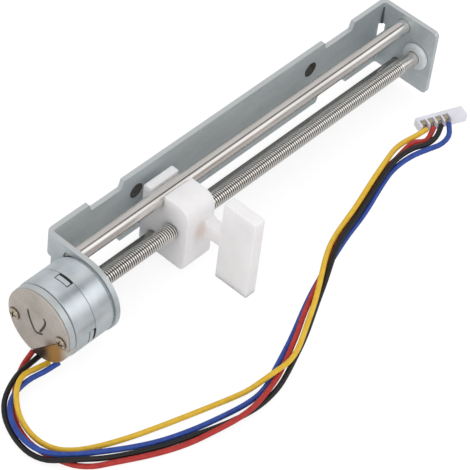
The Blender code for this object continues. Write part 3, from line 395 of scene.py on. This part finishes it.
def warmCapPlate(look):    # blanked and passivated steel: warm grey, matt, speckled, with a brown resin stain and painted shadow under the lower screw
    made, tree, shader = newMaterial("passivatedCapPlate")
    place = addNode(tree, "ShaderNodeTexCoord")
    grain = addNode(tree, "ShaderNodeTexNoise", inputs={
        "Vector": place.outputs["Object"], "Scale": 1000 / look["grainMm"], "Detail": 4.0})
    cloud = addNode(tree, "ShaderNodeTexNoise", inputs={
        "Vector": place.outputs["Object"], "Scale": 1000 / look["cloudMm"], "Detail": 4.0})
    mix = addNode(tree, "ShaderNodeMath", {"operation": "MULTIPLY_ADD"},
                  {0: grain.outputs["Fac"], 1: look["grainShare"], 2: cloud.outputs["Fac"]})
    shade = addNode(tree, "ShaderNodeValToRGB", inputs={"Fac": mix.outputs["Value"]}, stops=hexStops(
        (0.45, look["dark"]), (0.7, look["middle"]), (0.95, look["light"])))
    # resin stain and painted shadow, centred under the lower screw
    spot = fromScrew(*look["stainAndShadowAt"])
    centred = addNode(tree, "ShaderNodeMapping", inputs={
        "Vector": place.outputs["Object"], "Location": (0, -spot.y, -spot.z), "Scale": (0, 1, 1)})
    away = addNode(tree, "ShaderNodeVectorMath", {"operation": "LENGTH"}, {0: centred.outputs["Vector"]})
    amount = addNode(tree, "ShaderNodeMapRange", {"interpolation_type": "SMOOTHSTEP"}, {
        "Value": away.outputs["Value"], "From Min": look["stainAndShadowRadius"] * mm,
        "From Max": look["stainAndShadowCore"] * mm, "To Max": look["stainAndShadowStrength"]})
    stainedAndShaded = addNode(tree, "ShaderNodeMix", {"data_type": "RGBA"}, {
        0: amount.outputs["Result"], 6: shade.outputs["Color"], 7: hexColour(look["stainAndShadow"])})
    bump = addNode(tree, "ShaderNodeBump", inputs={
        "Height": grain.outputs["Fac"], "Strength": look["bump"], "Distance": look["bumpMm"] * mm})
    setInputs(tree, shader, {
        "Base Color": stainedAndShaded.outputs[2], "Metallic": look["metallic"], "Roughness": look["roughness"],
        "Normal": bump.outputs["Normal"]})
    return made


acetalLook = {
    "dark": "#ECEAEB", "light": "#F4F2F3", "cloudMm": 6.25, "roughness": 0.36, "ior": 1.48,
    "scatterMm": (2.6, 2.5, 2.4), "grainMm": 0.6667, "bump": 0.12, "bumpMm": 0.02,
    # the warm patch is painted shade where the arm meets the body
    "warm": "#E4D0C4", "warmAt": (24.3, -3.6, 0.1), "warmStretch": (1.0, 0.5, 0.5), "warmRadius": 1.9,
    "warmStrength": 0.8,
}


def whiteAcetal(look):    # moulded POM: milky and satin, light glows in thin walls, with a painted warm shade where the arm meets the body
    made, tree, shader = newMaterial("mouldedAcetal")
    place = addNode(tree, "ShaderNodeTexCoord")
    cloud = addNode(tree, "ShaderNodeTexNoise", inputs={
        "Vector": place.outputs["Object"], "Scale": 1000 / look["cloudMm"], "Detail": 3.0})
    shade = addNode(tree, "ShaderNodeValToRGB", inputs={"Fac": cloud.outputs["Fac"]},
                    stops=hexStops((noiseLow, look["dark"]), (noiseHigh, look["light"])))
    # painted warm shade, centred where the arm meets the body
    shadeCentre = fromScrew(*look["warmAt"])
    offset = Vector([-g * k for g, k in zip(shadeCentre, look["warmStretch"])])
    near = addNode(tree, "ShaderNodeMapping", inputs={
        "Vector": place.outputs["Object"], "Location": offset, "Scale": look["warmStretch"]})
    far = addNode(tree, "ShaderNodeVectorMath", {"operation": "LENGTH"}, {0: near.outputs["Vector"]})
    warmShade = addNode(tree, "ShaderNodeMapRange", {"interpolation_type": "SMOOTHSTEP"}, {
        "Value": far.outputs["Value"], "From Min": look["warmRadius"] * mm, "From Max": 0.0,
        "To Max": look["warmStrength"]})
    both = addNode(tree, "ShaderNodeMix", {"data_type": "RGBA"}, {
        0: warmShade.outputs["Result"], 6: shade.outputs["Color"], 7: hexColour(look["warm"])})
    grain = addNode(tree, "ShaderNodeTexNoise", inputs={
        "Vector": place.outputs["Object"], "Scale": 1000 / look["grainMm"], "Detail": 2.0})
    bump = addNode(tree, "ShaderNodeBump", inputs={
        "Height": grain.outputs["Fac"], "Strength": look["bump"], "Distance": look["bumpMm"] * mm})
    setInputs(tree, shader, {
        "Base Color": both.outputs[2], "Roughness": look["roughness"], "IOR": look["ior"],
        "Subsurface Weight": 1.0, "Subsurface Scale": 1.0,
        "Subsurface Radius": [reach * mm for reach in look["scatterMm"]], "Normal": bump.outputs["Normal"]})
    return made


resinLook = {
    # the dark end is painted shadow behind the wires
    "dark": "#3B332D", "amber": "#A27A45", "pale": "#B9B6AA", "shadowAt": 0.9, "paleAt": -8.0,
    "cloudMm": 2.381, "wander": 0.3, "roughness": 0.3, "scatter": 0.3, "scatterMm": (0.6, 0.4, 0.2),
}


def gradedResin(look):    # cast resin over the wires: dark with painted shadow behind the wires, then amber, then pale
    made, tree, shader = newMaterial("amberResin")
    place = addNode(tree, "ShaderNodeTexCoord")
    parts = addNode(tree, "ShaderNodeSeparateXYZ", inputs={"Vector": place.outputs["Object"]})
    along = addNode(tree, "ShaderNodeMapRange", inputs={
        "Value": parts.outputs["Y"], "From Min": look["shadowAt"] * mm + screwStart.y,
        "From Max": look["paleAt"] * mm + screwStart.y})
    cloud = addNode(tree, "ShaderNodeTexNoise", inputs={
        "Vector": place.outputs["Object"], "Scale": 1000 / look["cloudMm"], "Detail": 4.0})
    mix = addNode(tree, "ShaderNodeMath", {"operation": "MULTIPLY_ADD"},
                  {0: cloud.outputs["Fac"], 1: look["wander"], 2: along.outputs["Result"]})
    shade = addNode(tree, "ShaderNodeValToRGB", inputs={"Fac": mix.outputs["Value"]}, stops=hexStops(
        (0.4, look["dark"]), (0.66, look["amber"]), (0.86, look["amber"]), (1.0, look["pale"])))
    setInputs(tree, shader, {
        "Base Color": shade.outputs["Color"], "Roughness": look["roughness"],
        "Subsurface Weight": look["scatter"], "Subsurface Scale": 1.0,
        "Subsurface Radius": [reach * mm for reach in look["scatterMm"]]})
    return made


threadLook = {
    # the root colour is painted shade, the crest colour a painted highlight
    "root": "#3A3632", "flank": "#ADA8A2", "crest": "#FDFBF8", "rootRadius": 1.2, "crestRadius": 1.46,
    "grainMm": 0.4, "rough": (0.12, 0.22),
}


def rolledThreadSteel(look):    # rolled steel: painted shade darkens the roots and a painted highlight lightens the crests, which draws each turn
    made, tree, shader = newMaterial("rolledThreadSteel")
    place = addNode(tree, "ShaderNodeTexCoord")
    middle = addNode(tree, "ShaderNodeMapping", inputs={
        "Vector": place.outputs["Object"], "Location": (0, -screwStart.y, -screwStart.z),
        "Scale": (0, 1, 1)})
    radius = addNode(tree, "ShaderNodeVectorMath", {"operation": "LENGTH"}, {0: middle.outputs["Vector"]})
    height = addNode(tree, "ShaderNodeMapRange", inputs={
        "Value": radius.outputs["Value"], "From Min": look["rootRadius"] * mm,
        "From Max": look["crestRadius"] * mm})
    shade = addNode(tree, "ShaderNodeValToRGB", inputs={"Fac": height.outputs["Result"]}, stops=hexStops(
        (0.1, look["root"]), (0.45, look["flank"]), (0.8, look["crest"])))
    grain = addNode(tree, "ShaderNodeTexNoise", inputs={
        "Vector": place.outputs["Object"], "Scale": 1000 / look["grainMm"], "Detail": 2.0})
    rough = addNode(tree, "ShaderNodeMapRange", inputs={
        "Value": grain.outputs["Fac"], "To Min": look["rough"][0], "To Max": look["rough"][1]})
    setInputs(tree, shader, {
        "Base Color": shade.outputs["Color"], "Metallic": 1.0, "Roughness": rough.outputs["Result"]})
    return made


metalLooks = {
    "groundRodSteel": {    # centreless ground bar: a near mirror, with faint streaks along it
        "dark": "#D9D4D0", "light": "#F3EFEC", "rough": (0.12, 0.2), "streakMm": 1.667,
        "stretch": (0.1, 1, 1), "bump": faintBump},
    "shadedRodSteel": {    # the same bar, darker for painted shade, and glossier
        "dark": "#9A968F", "light": "#B4AFA8", "rough": (0.08, 0.14), "streakMm": 1.667,
        "stretch": (0.1, 1, 1), "bump": faintBump},
    "turnedScrewEnd": {    # turned steel: bright, with hardly a line left
        "dark": "#D2CCC6", "light": "#EFEAE5", "rough": (0.16, 0.26), "streakMm": 0.4,
        "stretch": (1, 1, 1), "bump": 0.03},
    "warmNickelScrew": {    # nickel plate that has yellowed: bright, with a straw tint
        "dark": "#CABB9C", "light": "#F6ECD8", "rough": (0.12, 0.22), "streakMm": 1.111,
        "stretch": (1, 1, 1), "bump": faintBump},
    "sinteredBronze": {    # pressed and sintered powder: dull gold
        "dark": "#8F7448", "light": "#AF9260", "rough": (0.35, 0.5), "streakMm": 0.6667,
        "stretch": (1, 1, 1), "bump": faintBump},
    "enamelledCopper": {    # lacquered wire in many turns: orange, with lines round the ring
        "dark": "#9A4A22", "light": "#C46A38", "rough": (0.25, 0.35), "streakMm": 0.6667,
        "stretch": (4, 1, 1), "bump": faintBump},
    "tinnedContact": {    # tinned brass: soft and dull, with a warm cast
        "dark": "#B9A98A", "light": "#D9CDB4", "rough": (0.3, 0.45), "streakMm": 0.6667,
        "stretch": (1, 1, 1), "bump": faintBump},
}


def bareMetal(name, look):    # metal with nothing over it, streaked by how it was worked
    made, tree, shader = newMaterial(name)
    place = addNode(tree, "ShaderNodeTexCoord")
    run = addNode(tree, "ShaderNodeMapping", inputs={
        "Vector": place.outputs["Object"], "Scale": look["stretch"]})
    streak = addNode(tree, "ShaderNodeTexNoise", inputs={
        "Vector": run.outputs["Vector"], "Scale": 1000 / look["streakMm"], "Detail": 4.0,
        "Roughness": 0.6})
    shade = addNode(tree, "ShaderNodeValToRGB", inputs={"Fac": streak.outputs["Fac"]},
                    stops=hexStops((noiseLow, look["dark"]), (noiseHigh, look["light"])))
    rough = addNode(tree, "ShaderNodeMapRange", inputs={
        "Value": streak.outputs["Fac"], "From Min": noiseLow, "From Max": noiseHigh,
        "To Min": look["rough"][0], "To Max": look["rough"][1]})
    bump = addNode(tree, "ShaderNodeBump", inputs={
        "Height": streak.outputs["Fac"], "Strength": look["bump"], "Distance": metalGrainMm * mm})
    setInputs(tree, shader, {
        "Base Color": shade.outputs["Color"], "Metallic": 1.0, "Roughness": rough.outputs["Result"],
        "Normal": bump.outputs["Normal"]})
    return made


plainLooks = {
    # painted shade in recesses and gaps: near black, half gloss
    "paintedRecessShade": {"dark": "#2A2622", "light": "#3D3833", "roughness": 0.5, "cloudMm": 0.6667},
    # painted shade on the wall of a screw head: brown
    "paintedHeadWallShade": {"dark": "#46382A", "light": "#6C583F", "roughness": 0.4, "cloudMm": 0.6667},
    # painted shade inside and behind a punched hole: almost black
    "paintedHoleShade": {"dark": "#2F2D2B", "light": "#524F4C", "roughness": 0.4, "cloudMm": 0.6667},
    # painted shade in a pinched corner: a soft dark line
    "paintedCreaseShade": {"dark": "#3F4648", "light": "#565F62", "roughness": 0.5, "cloudMm": 0.6667},
    # paint from a marker pen: brown black and flat
    "darkPaintMark": {"dark": "#35302B", "light": "#4A443E", "roughness": 0.5, "cloudMm": 0.6667},
    # moulded nylon without pigment: cream
    "naturalNylon": {"dark": "#D5CDB8", "light": "#E2DCCB", "roughness": 0.5, "cloudMm": 2.5},
    # ferrite powder in resin: dark grey, dull
    "bondedFerrite": {"dark": "#1D1D1F", "light": "#2B2B2E", "roughness": 0.55, "cloudMm": 0.6667},
    # moulded nylon, white: a cool cast, satin
    "plugNylon": {"dark": "#DBDAE4", "light": "#E8E7EF", "roughness": 0.4, "cloudMm": 2.0},
    # moulded nylon, thin and clear: a grey cast from the steel behind it
    "clearNylonBush": {"dark": "#C9D0D3", "light": "#DDE2E4", "roughness": 0.35, "cloudMm": 3.333},
}


def plainFinish(name, look):    # one colour with a faint cloud in it
    made, tree, shader = newMaterial(name)
    place = addNode(tree, "ShaderNodeTexCoord")
    cloud = addNode(tree, "ShaderNodeTexNoise", inputs={
        "Vector": place.outputs["Object"], "Scale": 1000 / look["cloudMm"], "Detail": 4.0})
    shade = addNode(tree, "ShaderNodeValToRGB", inputs={"Fac": cloud.outputs["Fac"]},
                    stops=hexStops((noiseLow, look["dark"]), (noiseHigh, look["light"])))
    bump = addNode(tree, "ShaderNodeBump", inputs={
        "Height": cloud.outputs["Fac"], "Strength": faintBump, "Distance": plasticGrainMm * mm})
    setInputs(tree, shader, {
        "Base Color": shade.outputs["Color"], "Roughness": look["roughness"],
        "Normal": bump.outputs["Normal"]})
    return made


sheetSteel = zincPlatedSheet(sheetLook)
canSteel = drawnCanSteel(canLook)
capPlate = warmCapPlate(capLook)
acetal = whiteAcetal(acetalLook)
amberResin = gradedResin(resinLook)
threadSteel = rolledThreadSteel(threadLook)
metal = {name: bareMetal(name, look) for name, look in metalLooks.items()}
plain = {name: plainFinish(name, look) for name, look in plainLooks.items()}
print("materials made")


# Carried-over nodes: some with their edges broken, the others as they are

edgeRules = {"weldMm": 0.002, "flatDegrees": 1, "smoothDegrees": 50}
softPieces = (    # node, its piece, material, then the broken edge's width in mm, segments and least angle
    ("upper_guide_rod", "upperRodBar", metal["groundRodSteel"], 0.05, 2, 30),
    ("lower_guide_rod", "lowerRodBar", metal["shadedRodSteel"], 0.05, 2, 30),
    ("bracket", "bentBracket", sheetSteel, 0.09, 2, 30),
    ("end_bush", "farEndBush", plain["clearNylonBush"], 0.05, 2, 40),
    ("carriage", "mouldedCarriage", acetal, 0.4, 4, 30),
    ("front_cup", "frontCan", canSteel, 0.04, 1, 40),
    ("rear_cup", "rearCan", canSteel, 0.04, 1, 40),
    ("end_ring", "endRing", sheetSteel, 0.04, 1, 40),
    ("end_cap", "endCap", capPlate, 0.05, 2, 40),
    ("cap_screw_1", "upperCapScrew", metal["warmNickelScrew"], 0.03, 2, 40),
    ("cap_screw_2", "lowerCapScrew", metal["warmNickelScrew"], 0.03, 2, 40),
    ("plug_housing", "plugHousing", plain["plugNylon"], 0.05, 1, 40),
)
keptNodes = (
    (sheetSteel, ("front_plate",)),
    (canSteel, ("front_yoke", "rear_yoke")),
    (plain["naturalNylon"], ("front_bobbin", "rear_bobbin", "rotor_hub")),
    (metal["enamelledCopper"], ("front_winding", "rear_winding")),
    (metal["sinteredBronze"], ("front_bearing", "rear_bearing")),
    (acetal, ("front_washer", "rear_washer")),
    (amberResin, ("wire_seal",)),
    (plain["bondedFerrite"], ("rotor_magnet",)),
    (metal["tinnedContact"], ("contact_1", "contact_2", "contact_3", "contact_4")),
)
screwHead = {
    "top": -12.936, "rise": 0.286, "radius": 1.25,    # the dome
    "deeper": 0.03, "recessRadius": 1.05, "recessDepth": 0.25, "wallDepth": 0.6,    # what lies below it
}


def softCopy(node, name, material, width, segments, angle, rules):
    shape = bmesh.new()
    shape.from_mesh(bpy.data.objects[node].data)
    bmesh.ops.remove_doubles(shape, verts=shape.verts, dist=rules["weldMm"] * mm)
    bmesh.ops.dissolve_limit(shape, angle_limit=math.radians(rules["flatDegrees"]), verts=shape.verts,
                             edges=shape.edges)
    least = math.radians(angle)
    sharp = [e for e in shape.edges if len(e.link_faces) == 2 and e.calc_face_angle(0) > least]
    bmesh.ops.bevel(shape, geom=sharp, offset=width * mm, offset_type="OFFSET", affect="EDGES",
                    segments=segments, profile=0.5, clamp_overlap=True, material=-1)
    piece = finishPiece(name, shape, material, bodyOf[node], rules["smoothDegrees"])
    even = piece.modifiers.new("even normals", "WEIGHTED_NORMAL")
    even.keep_sharp = True
    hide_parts(node)
    return piece


def darkenHead(piece, h):    # painted shade: near black in the cross recess, brown on the head's wall
    ys, zs = ([v.co[i] / mm for v in piece.data.vertices] for i in (1, 2))
    middleY, middleZ = (min(ys) + max(ys)) / 2, (min(zs) + max(zs)) / 2
    piece.data.materials.append(plain["paintedRecessShade"])
    piece.data.materials.append(plain["paintedHeadWallShade"])
    for face in piece.data.polygons:
        r = math.hypot(face.center.y / mm - middleY, face.center.z / mm - middleZ)
        dome = h["top"] + screwStart.x / mm + h["rise"] * (r / h["radius"]) ** 2
        deep = face.center.x / mm - dome
        if r < h["recessRadius"] and h["deeper"] < deep < h["recessDepth"]:
            face.material_index = 1
        elif r > h["recessRadius"] and h["deeper"] < deep < h["wallDepth"]:
            face.material_index = 2


def dress(node, material):
    data = bpy.data.objects[node].data
    if data.materials:
        data.materials[0] = material
    else:
        data.materials.append(material)


softened = {name: softCopy(node, name, *look, edgeRules) for node, name, *look in softPieces}
for name in ("upperCapScrew", "lowerCapScrew"):
    darkenHead(softened[name], screwHead)
for material, nodes in keptNodes:
    for node in nodes:
        dress(node, material)
print("nodes dressed")


# Lead screw: rolled M3 thread, half a millimetre pitch

threadSettings = {
    "pitch": 0.5, "crest": 1.48, "root": 1.18, "start": 0.8, "end": 84.8, "steps": 32, "weldMm": 0.002,
    "smoothDegrees": 60,
    # one turn, in eighths of the pitch
    "turn": ((0, "root"), (0.6, "root"), (2.6, "crest"), (5.4, "crest"), (7.4, "root"), (8, "root")),
    # the bar inside it, from the rotor to the far tip
    "rotorEnd": -11.5, "shaft": 1.0, "shoulder": 0.7, "shoulderRadius": 1.3, "shoulderEdge": 0.15,
    "runIn": 1.1, "runOut": 0.2, "slope": 0.1, "under": 0.02,
    "neck": 1.43, "neckEnd": 88.9, "tail": 1.32, "tip": 90.6, "tipEdge": 0.25,
}


def makeThread(t):
    shape = bmesh.new()
    part = t["pitch"] / 8
    chain = [shape.verts.new(((t["start"] + part * at) * mm, t[level] * mm, 0))
             for at, level in t["turn"]]
    for a, b in zip(chain, chain[1:]):
        shape.edges.new((a, b))
    mesh = bpy.data.meshes.new("rolledThread")
    shape.to_mesh(mesh)
    shape.free()
    mesh.materials.append(threadSteel)
    thread = bpy.data.objects.new("rolledThread", mesh)
    bpy.context.collection.objects.link(thread)
    winding = thread.modifiers.new("winding", "SCREW")
    winding.axis = "X"
    winding.steps = t["steps"]
    winding.render_steps = t["steps"]
    winding.iterations = round((t["end"] - t["start"]) / t["pitch"])
    winding.screw_offset = t["pitch"] * mm
    winding.use_merge_vertices = False
    winding.use_smooth_shade = True
    weld = thread.modifiers.new("weld", "WELD")
    weld.merge_threshold = t["weldMm"] * mm
    bpy.context.view_layer.update()
    made = bpy.data.meshes.new_from_object(thread.evaluated_get(bpy.context.evaluated_depsgraph_get()))
    made.transform(Matrix.Translation(screwStart))
    thread.modifiers.clear()
    thread.data = made
    shape = bmesh.new()
    shape.from_mesh(made)
    bmesh.ops.recalc_face_normals(shape, faces=shape.faces)
    shape.to_mesh(made)
    shape.free()
    made.shade_smooth()
    made.set_sharp_from_angle(angle=math.radians(t["smoothDegrees"]))
    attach(thread, "screw_and_rotor")


def makeScrewBar(t):    # it shows only at its ends, and lies just under the thread's roots between them
    crest, root = t["crest"] - t["under"], t["root"] - t["under"] / 2
    outline = ((t["rotorEnd"], 0), (t["rotorEnd"], t["shaft"]), (t["shoulder"], t["shaft"]),
               (t["shoulder"], t["shoulderRadius"]), (t["shoulder"] + t["shoulderEdge"], crest),
               (t["runIn"], crest), (t["runIn"] + t["slope"], root),
               (t["end"] - t["runOut"] - t["shoulderEdge"], root),
               (t["end"] - t["runOut"], crest - t["under"]),
               (t["end"] + t["slope"], t["neck"]), (t["neckEnd"] - t["slope"], t["neck"]),
               (t["neckEnd"], t["tail"]), (t["tip"] - t["tipEdge"], t["tail"]),
               (t["tip"], t["tail"] - t["tipEdge"]), (t["tip"], 0))
    bar = finishPiece("leadScrewBar", spunShape(outline, (1, 0, 0), t["steps"], screwStart),
                      metal["turnedScrewEnd"], "screw_and_rotor")
    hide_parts("lead_screw")


makeThread(threadSettings)
makeScrewBar(threadSettings)
print("lead screw cut")


# Small things that are too fine for the solids, in millimetres from the screw's start

holeShadeSettings = {
    "inner": 1.6, "outer": 2.15, "start": 10.25, "end": 10.95, "lining": 0.02, "reach": 0.98, "edge": 0.15,
    "steps": 40, "holes": {"near": (21.2, 0, 3.0), "far": (68.8, 0, 3.0)},
}


def holeShadeCollar(b, hole):    # a dark collar behind a punched hole: painted shade seen through the hole
    thin, thick = b["inner"] - b["lining"], b["inner"] + b["lining"]
    outline = ((thin, b["start"] - b["reach"]), (thin, b["end"]), (b["outer"] - b["edge"], b["end"]),
               (b["outer"], b["start"] + b["lining"]), (thick, b["start"] + b["lining"]),
               (thick, b["start"] - b["reach"]))
    return spunShape(outline, (0, 1, 0), b["steps"], fromScrew(*hole))


for label, hole in holeShadeSettings["holes"].items():
    piece = finishPiece(label + "HoleBurr", holeShadeCollar(holeShadeSettings, hole), plain["paintedHoleShade"],
                        "slide_frame")


tabSettings = {
    "angles": (90, 186, 270, 6), "canRadius": 7.5, "width": 3.0, "steps": 8, "sink": 0.15, "proud": 0.012,
    "lines": {"Fold": (-7.36, 0.14), "Gap": (-6.02, 0.26)},    # where each starts, and its width
}


def tabShadeLine(t, angle, start, wide):    # a dark line of painted shade across a locking tab, at the place given: its pressed fold, its open gap
    half = t["width"] / 2 / t["canRadius"]
    inner, outer = t["canRadius"] - t["sink"], t["canRadius"] + t["proud"]
    corners = ((start, inner), (start + wide, inner), (start + wide, outer), (start, outer))
    rows = []
    for step in range(t["steps"] + 1):
        turn = math.radians(angle) - half + 2 * half * step / t["steps"]
        rows.append([fromScrew(x, r * math.cos(turn), r * math.sin(turn)) for x, r in corners])
    return barThrough(rows)


# dark lines of painted shade at each tab's fold and gap
for angle in tabSettings["angles"]:
    for label, (start, wide) in tabSettings["lines"].items():
        piece = finishPiece("tab%s_%d" % (label, angle), tabShadeLine(tabSettings, angle, start, wide),
                            plain["paintedRecessShade"], "slide_frame")


creaseSettings = {
    "radius": 0.34, "taper": 0.6, "setback": 9.17, "segments": 12,
    "corners": {"farUpper": (89.92, 2.5, 6.6), "nearUpper": (0.08, 2.5, 5.0)},    # x, lower end, upper end
}


def creaseShadeCone(c, x, low, high):    # painted shade in the pinched inner corner of the bent sheet: a dark line above the slot
    shape = bmesh.new()
    made = bmesh.ops.create_cone(shape, cap_ends=True, segments=c["segments"], radius1=c["radius"] * mm,
                                 radius2=c["radius"] * c["taper"] * mm, depth=(high - low) * mm)
    bmesh.ops.translate(shape, verts=made["verts"], vec=fromScrew(x, c["setback"], (low + high) / 2))
    return shape


for label, corner in creaseSettings["corners"].items():
    piece = finishPiece(label + "BendCrease", creaseShadeCone(creaseSettings, *corner), plain["paintedCreaseShade"],
                        "slide_frame")


markSettings = {
    "capFace": -12.35, "sink": 0.01, "thick": 0.02, "width": 0.46, "steps": 6, "tips": (0.45, 0.8),
    "strokes": {    # y and z on the cap's face
        "long": ((2.59, 2.35), (2.05, 0.64), (0.77, -1.53), (-0.14, -1.68), (-1.3, -1.04)),
        "short": ((-1.25, 2.97), (-1.69, 2.07), (-1.25, 0.41), (-0.48, -1.14)),
    },
}


def markStroke(m, points):    # a thin flat stroke on the cap's face, with tapered ends
    path = smoothCurve([Vector(point) for point in points], m["steps"])
    back, front = m["capFace"] + m["sink"], m["capFace"] - m["thick"]
    rows = []
    for i, at in enumerate(path):
        way = (path[min(i + 1, len(path) - 1)] - path[max(i - 1, 0)]).normalized()
        side = Vector((-way.y, way.x)) * m["width"] / 2
        fromEnd = min(i, len(path) - 1 - i)
        if fromEnd < len(m["tips"]):
            side *= m["tips"][fromEnd]
        rows.append([fromScrew(x, *(at + side * k))
                     for x, k in ((back, 1), (back, -1), (front, -1), (front, 1))])
    return barThrough(rows)


for label, points in markSettings["strokes"].items():
    piece = finishPiece(label + "CapMark", markStroke(markSettings, points), plain["darkPaintMark"],
                        "slide_frame")
print("small things made")


# Table, lamps and world

tableSettings = {
    "size": 2.0, "colour": "#FAFAFA", "roughness": 0.9, "specular": 0.1,
    "cameraGlow": 1.12, "cameraShare": 0.75,    # a glow for the camera keeps it white, with its shadows
    "mirrorGlow": 0.44, "mirrorShare": 0.8,    # the same for what shiny metal mirrors of it
}
worldSettings = {
    "strength": 0.9, "backdrop": 1.0,
    # what shiny metal sees round the screw's line: degrees up from the table in front, and the light there
    "bands": ((-180, 0.4), (0, 0.3), (20, 0.6), (32, 1.05), (52, 1.15), (62, 0.85), (69, 0.5), (73, 0.08),
              (84, 0.08), (89, 0.68), (125, 0.68), (150, 0.6), (172, 0.4), (180, 0.4)),
}
lampSettings = {
    "keyLamp": {"place": (-0.45, -0.25, 0.3), "watts": 0.6, "size": 0.8},
    "fillLamp": {"place": (0.35, -0.35, 0.25), "watts": 0.15, "size": 0.4},
}


def makeTable(s):
    shape = bmesh.new()
    bmesh.ops.create_grid(shape, x_segments=1, y_segments=1, size=s["size"])
    mesh = bpy.data.meshes.new("table")
    shape.to_mesh(mesh)
    shape.free()
    made, tree, shader = newMaterial("paleTable")
    setInputs(tree, shader, {"Base Color": hexColour(s["colour"]), "Roughness": s["roughness"],
                             "Specular IOR Level": s["specular"]})
    ray = addNode(tree, "ShaderNodeLightPath")
    strength = addNode(tree, "ShaderNodeMapRange", inputs={
        "Value": ray.outputs["Is Camera Ray"], "To Min": s["mirrorGlow"], "To Max": s["cameraGlow"]})
    glow = addNode(tree, "ShaderNodeEmission", inputs={
        "Color": (1, 1, 1, 1), "Strength": strength.outputs["Result"]})
    seen = addNode(tree, "ShaderNodeMath", {"operation": "MULTIPLY"},
                   {0: ray.outputs["Is Camera Ray"], 1: s["cameraShare"]})
    mirrored = addNode(tree, "ShaderNodeMath", {"operation": "MULTIPLY"},
                       {0: ray.outputs["Is Glossy Ray"], 1: s["mirrorShare"]})
    share = addNode(tree, "ShaderNodeMath", {"operation": "MAXIMUM"},
                    {0: seen.outputs["Value"], 1: mirrored.outputs["Value"]})
    blend = addNode(tree, "ShaderNodeMixShader", inputs={
        0: share.outputs["Value"], 1: shader.outputs["BSDF"], 2: glow.outputs["Emission"]})
    tree.links.new(blend.outputs["Shader"], tree.nodes["Material Output"].inputs["Surface"])
    mesh.materials.append(made)
    table = bpy.data.objects.new("table", mesh)
    bpy.context.collection.objects.link(table)


def makeWorld(s):
    world = bpy.data.worlds.new("softWorld")
    bpy.context.scene.world = world
    world.use_nodes = True
    tree = world.node_tree
    ray = addNode(tree, "ShaderNodeLightPath")
    place = addNode(tree, "ShaderNodeTexCoord")
    split = addNode(tree, "ShaderNodeSeparateXYZ", inputs={"Vector": place.outputs["Generated"]})
    front = addNode(tree, "ShaderNodeMath", {"operation": "MULTIPLY"}, {0: split.outputs["Y"], 1: -1.0})
    angle = addNode(tree, "ShaderNodeMath", {"operation": "ARCTAN2"},
                    {0: split.outputs["Z"], 1: front.outputs["Value"]})
    part = addNode(tree, "ShaderNodeMapRange", inputs={
        "Value": angle.outputs["Value"], "From Min": -math.pi, "From Max": math.pi})
    ramp = addNode(tree, "ShaderNodeValToRGB", inputs={"Fac": part.outputs["Result"]}, stops=[
        ((degrees + 180) / 360, (bright, bright, bright, 1)) for degrees, bright in s["bands"]])
    mirrored = addNode(tree, "ShaderNodeMix", {"data_type": "FLOAT"},
                       {0: ray.outputs["Is Glossy Ray"], 2: s["strength"], 3: ramp.outputs["Color"]})
    seen = addNode(tree, "ShaderNodeMix", {"data_type": "FLOAT"},
                   {0: ray.outputs["Is Camera Ray"], 2: mirrored.outputs[0], 3: s["backdrop"]})
    setInputs(tree, tree.nodes["Background"], {"Color": (1, 1, 1, 1), "Strength": seen.outputs[0]})


def makeLamp(name, s):
    data = bpy.data.lights.new(name, "AREA")
    data.size = s["size"]
    data.energy = s["watts"]
    lamp = bpy.data.objects.new(name, data)
    lamp.location = s["place"]
    lamp.visible_glossy = False    # metals mirror the surroundings only
    lamp.rotation_euler = (-Vector(s["place"])).to_track_quat("-Z", "Y").to_euler()
    bpy.context.collection.objects.link(lamp)


makeTable(tableSettings)
makeWorld(worldSettings)
for name, settings in lampSettings.items():
    makeLamp(name, settings)
bpy.context.scene.view_settings.view_transform = "Standard"
print("studio lit")
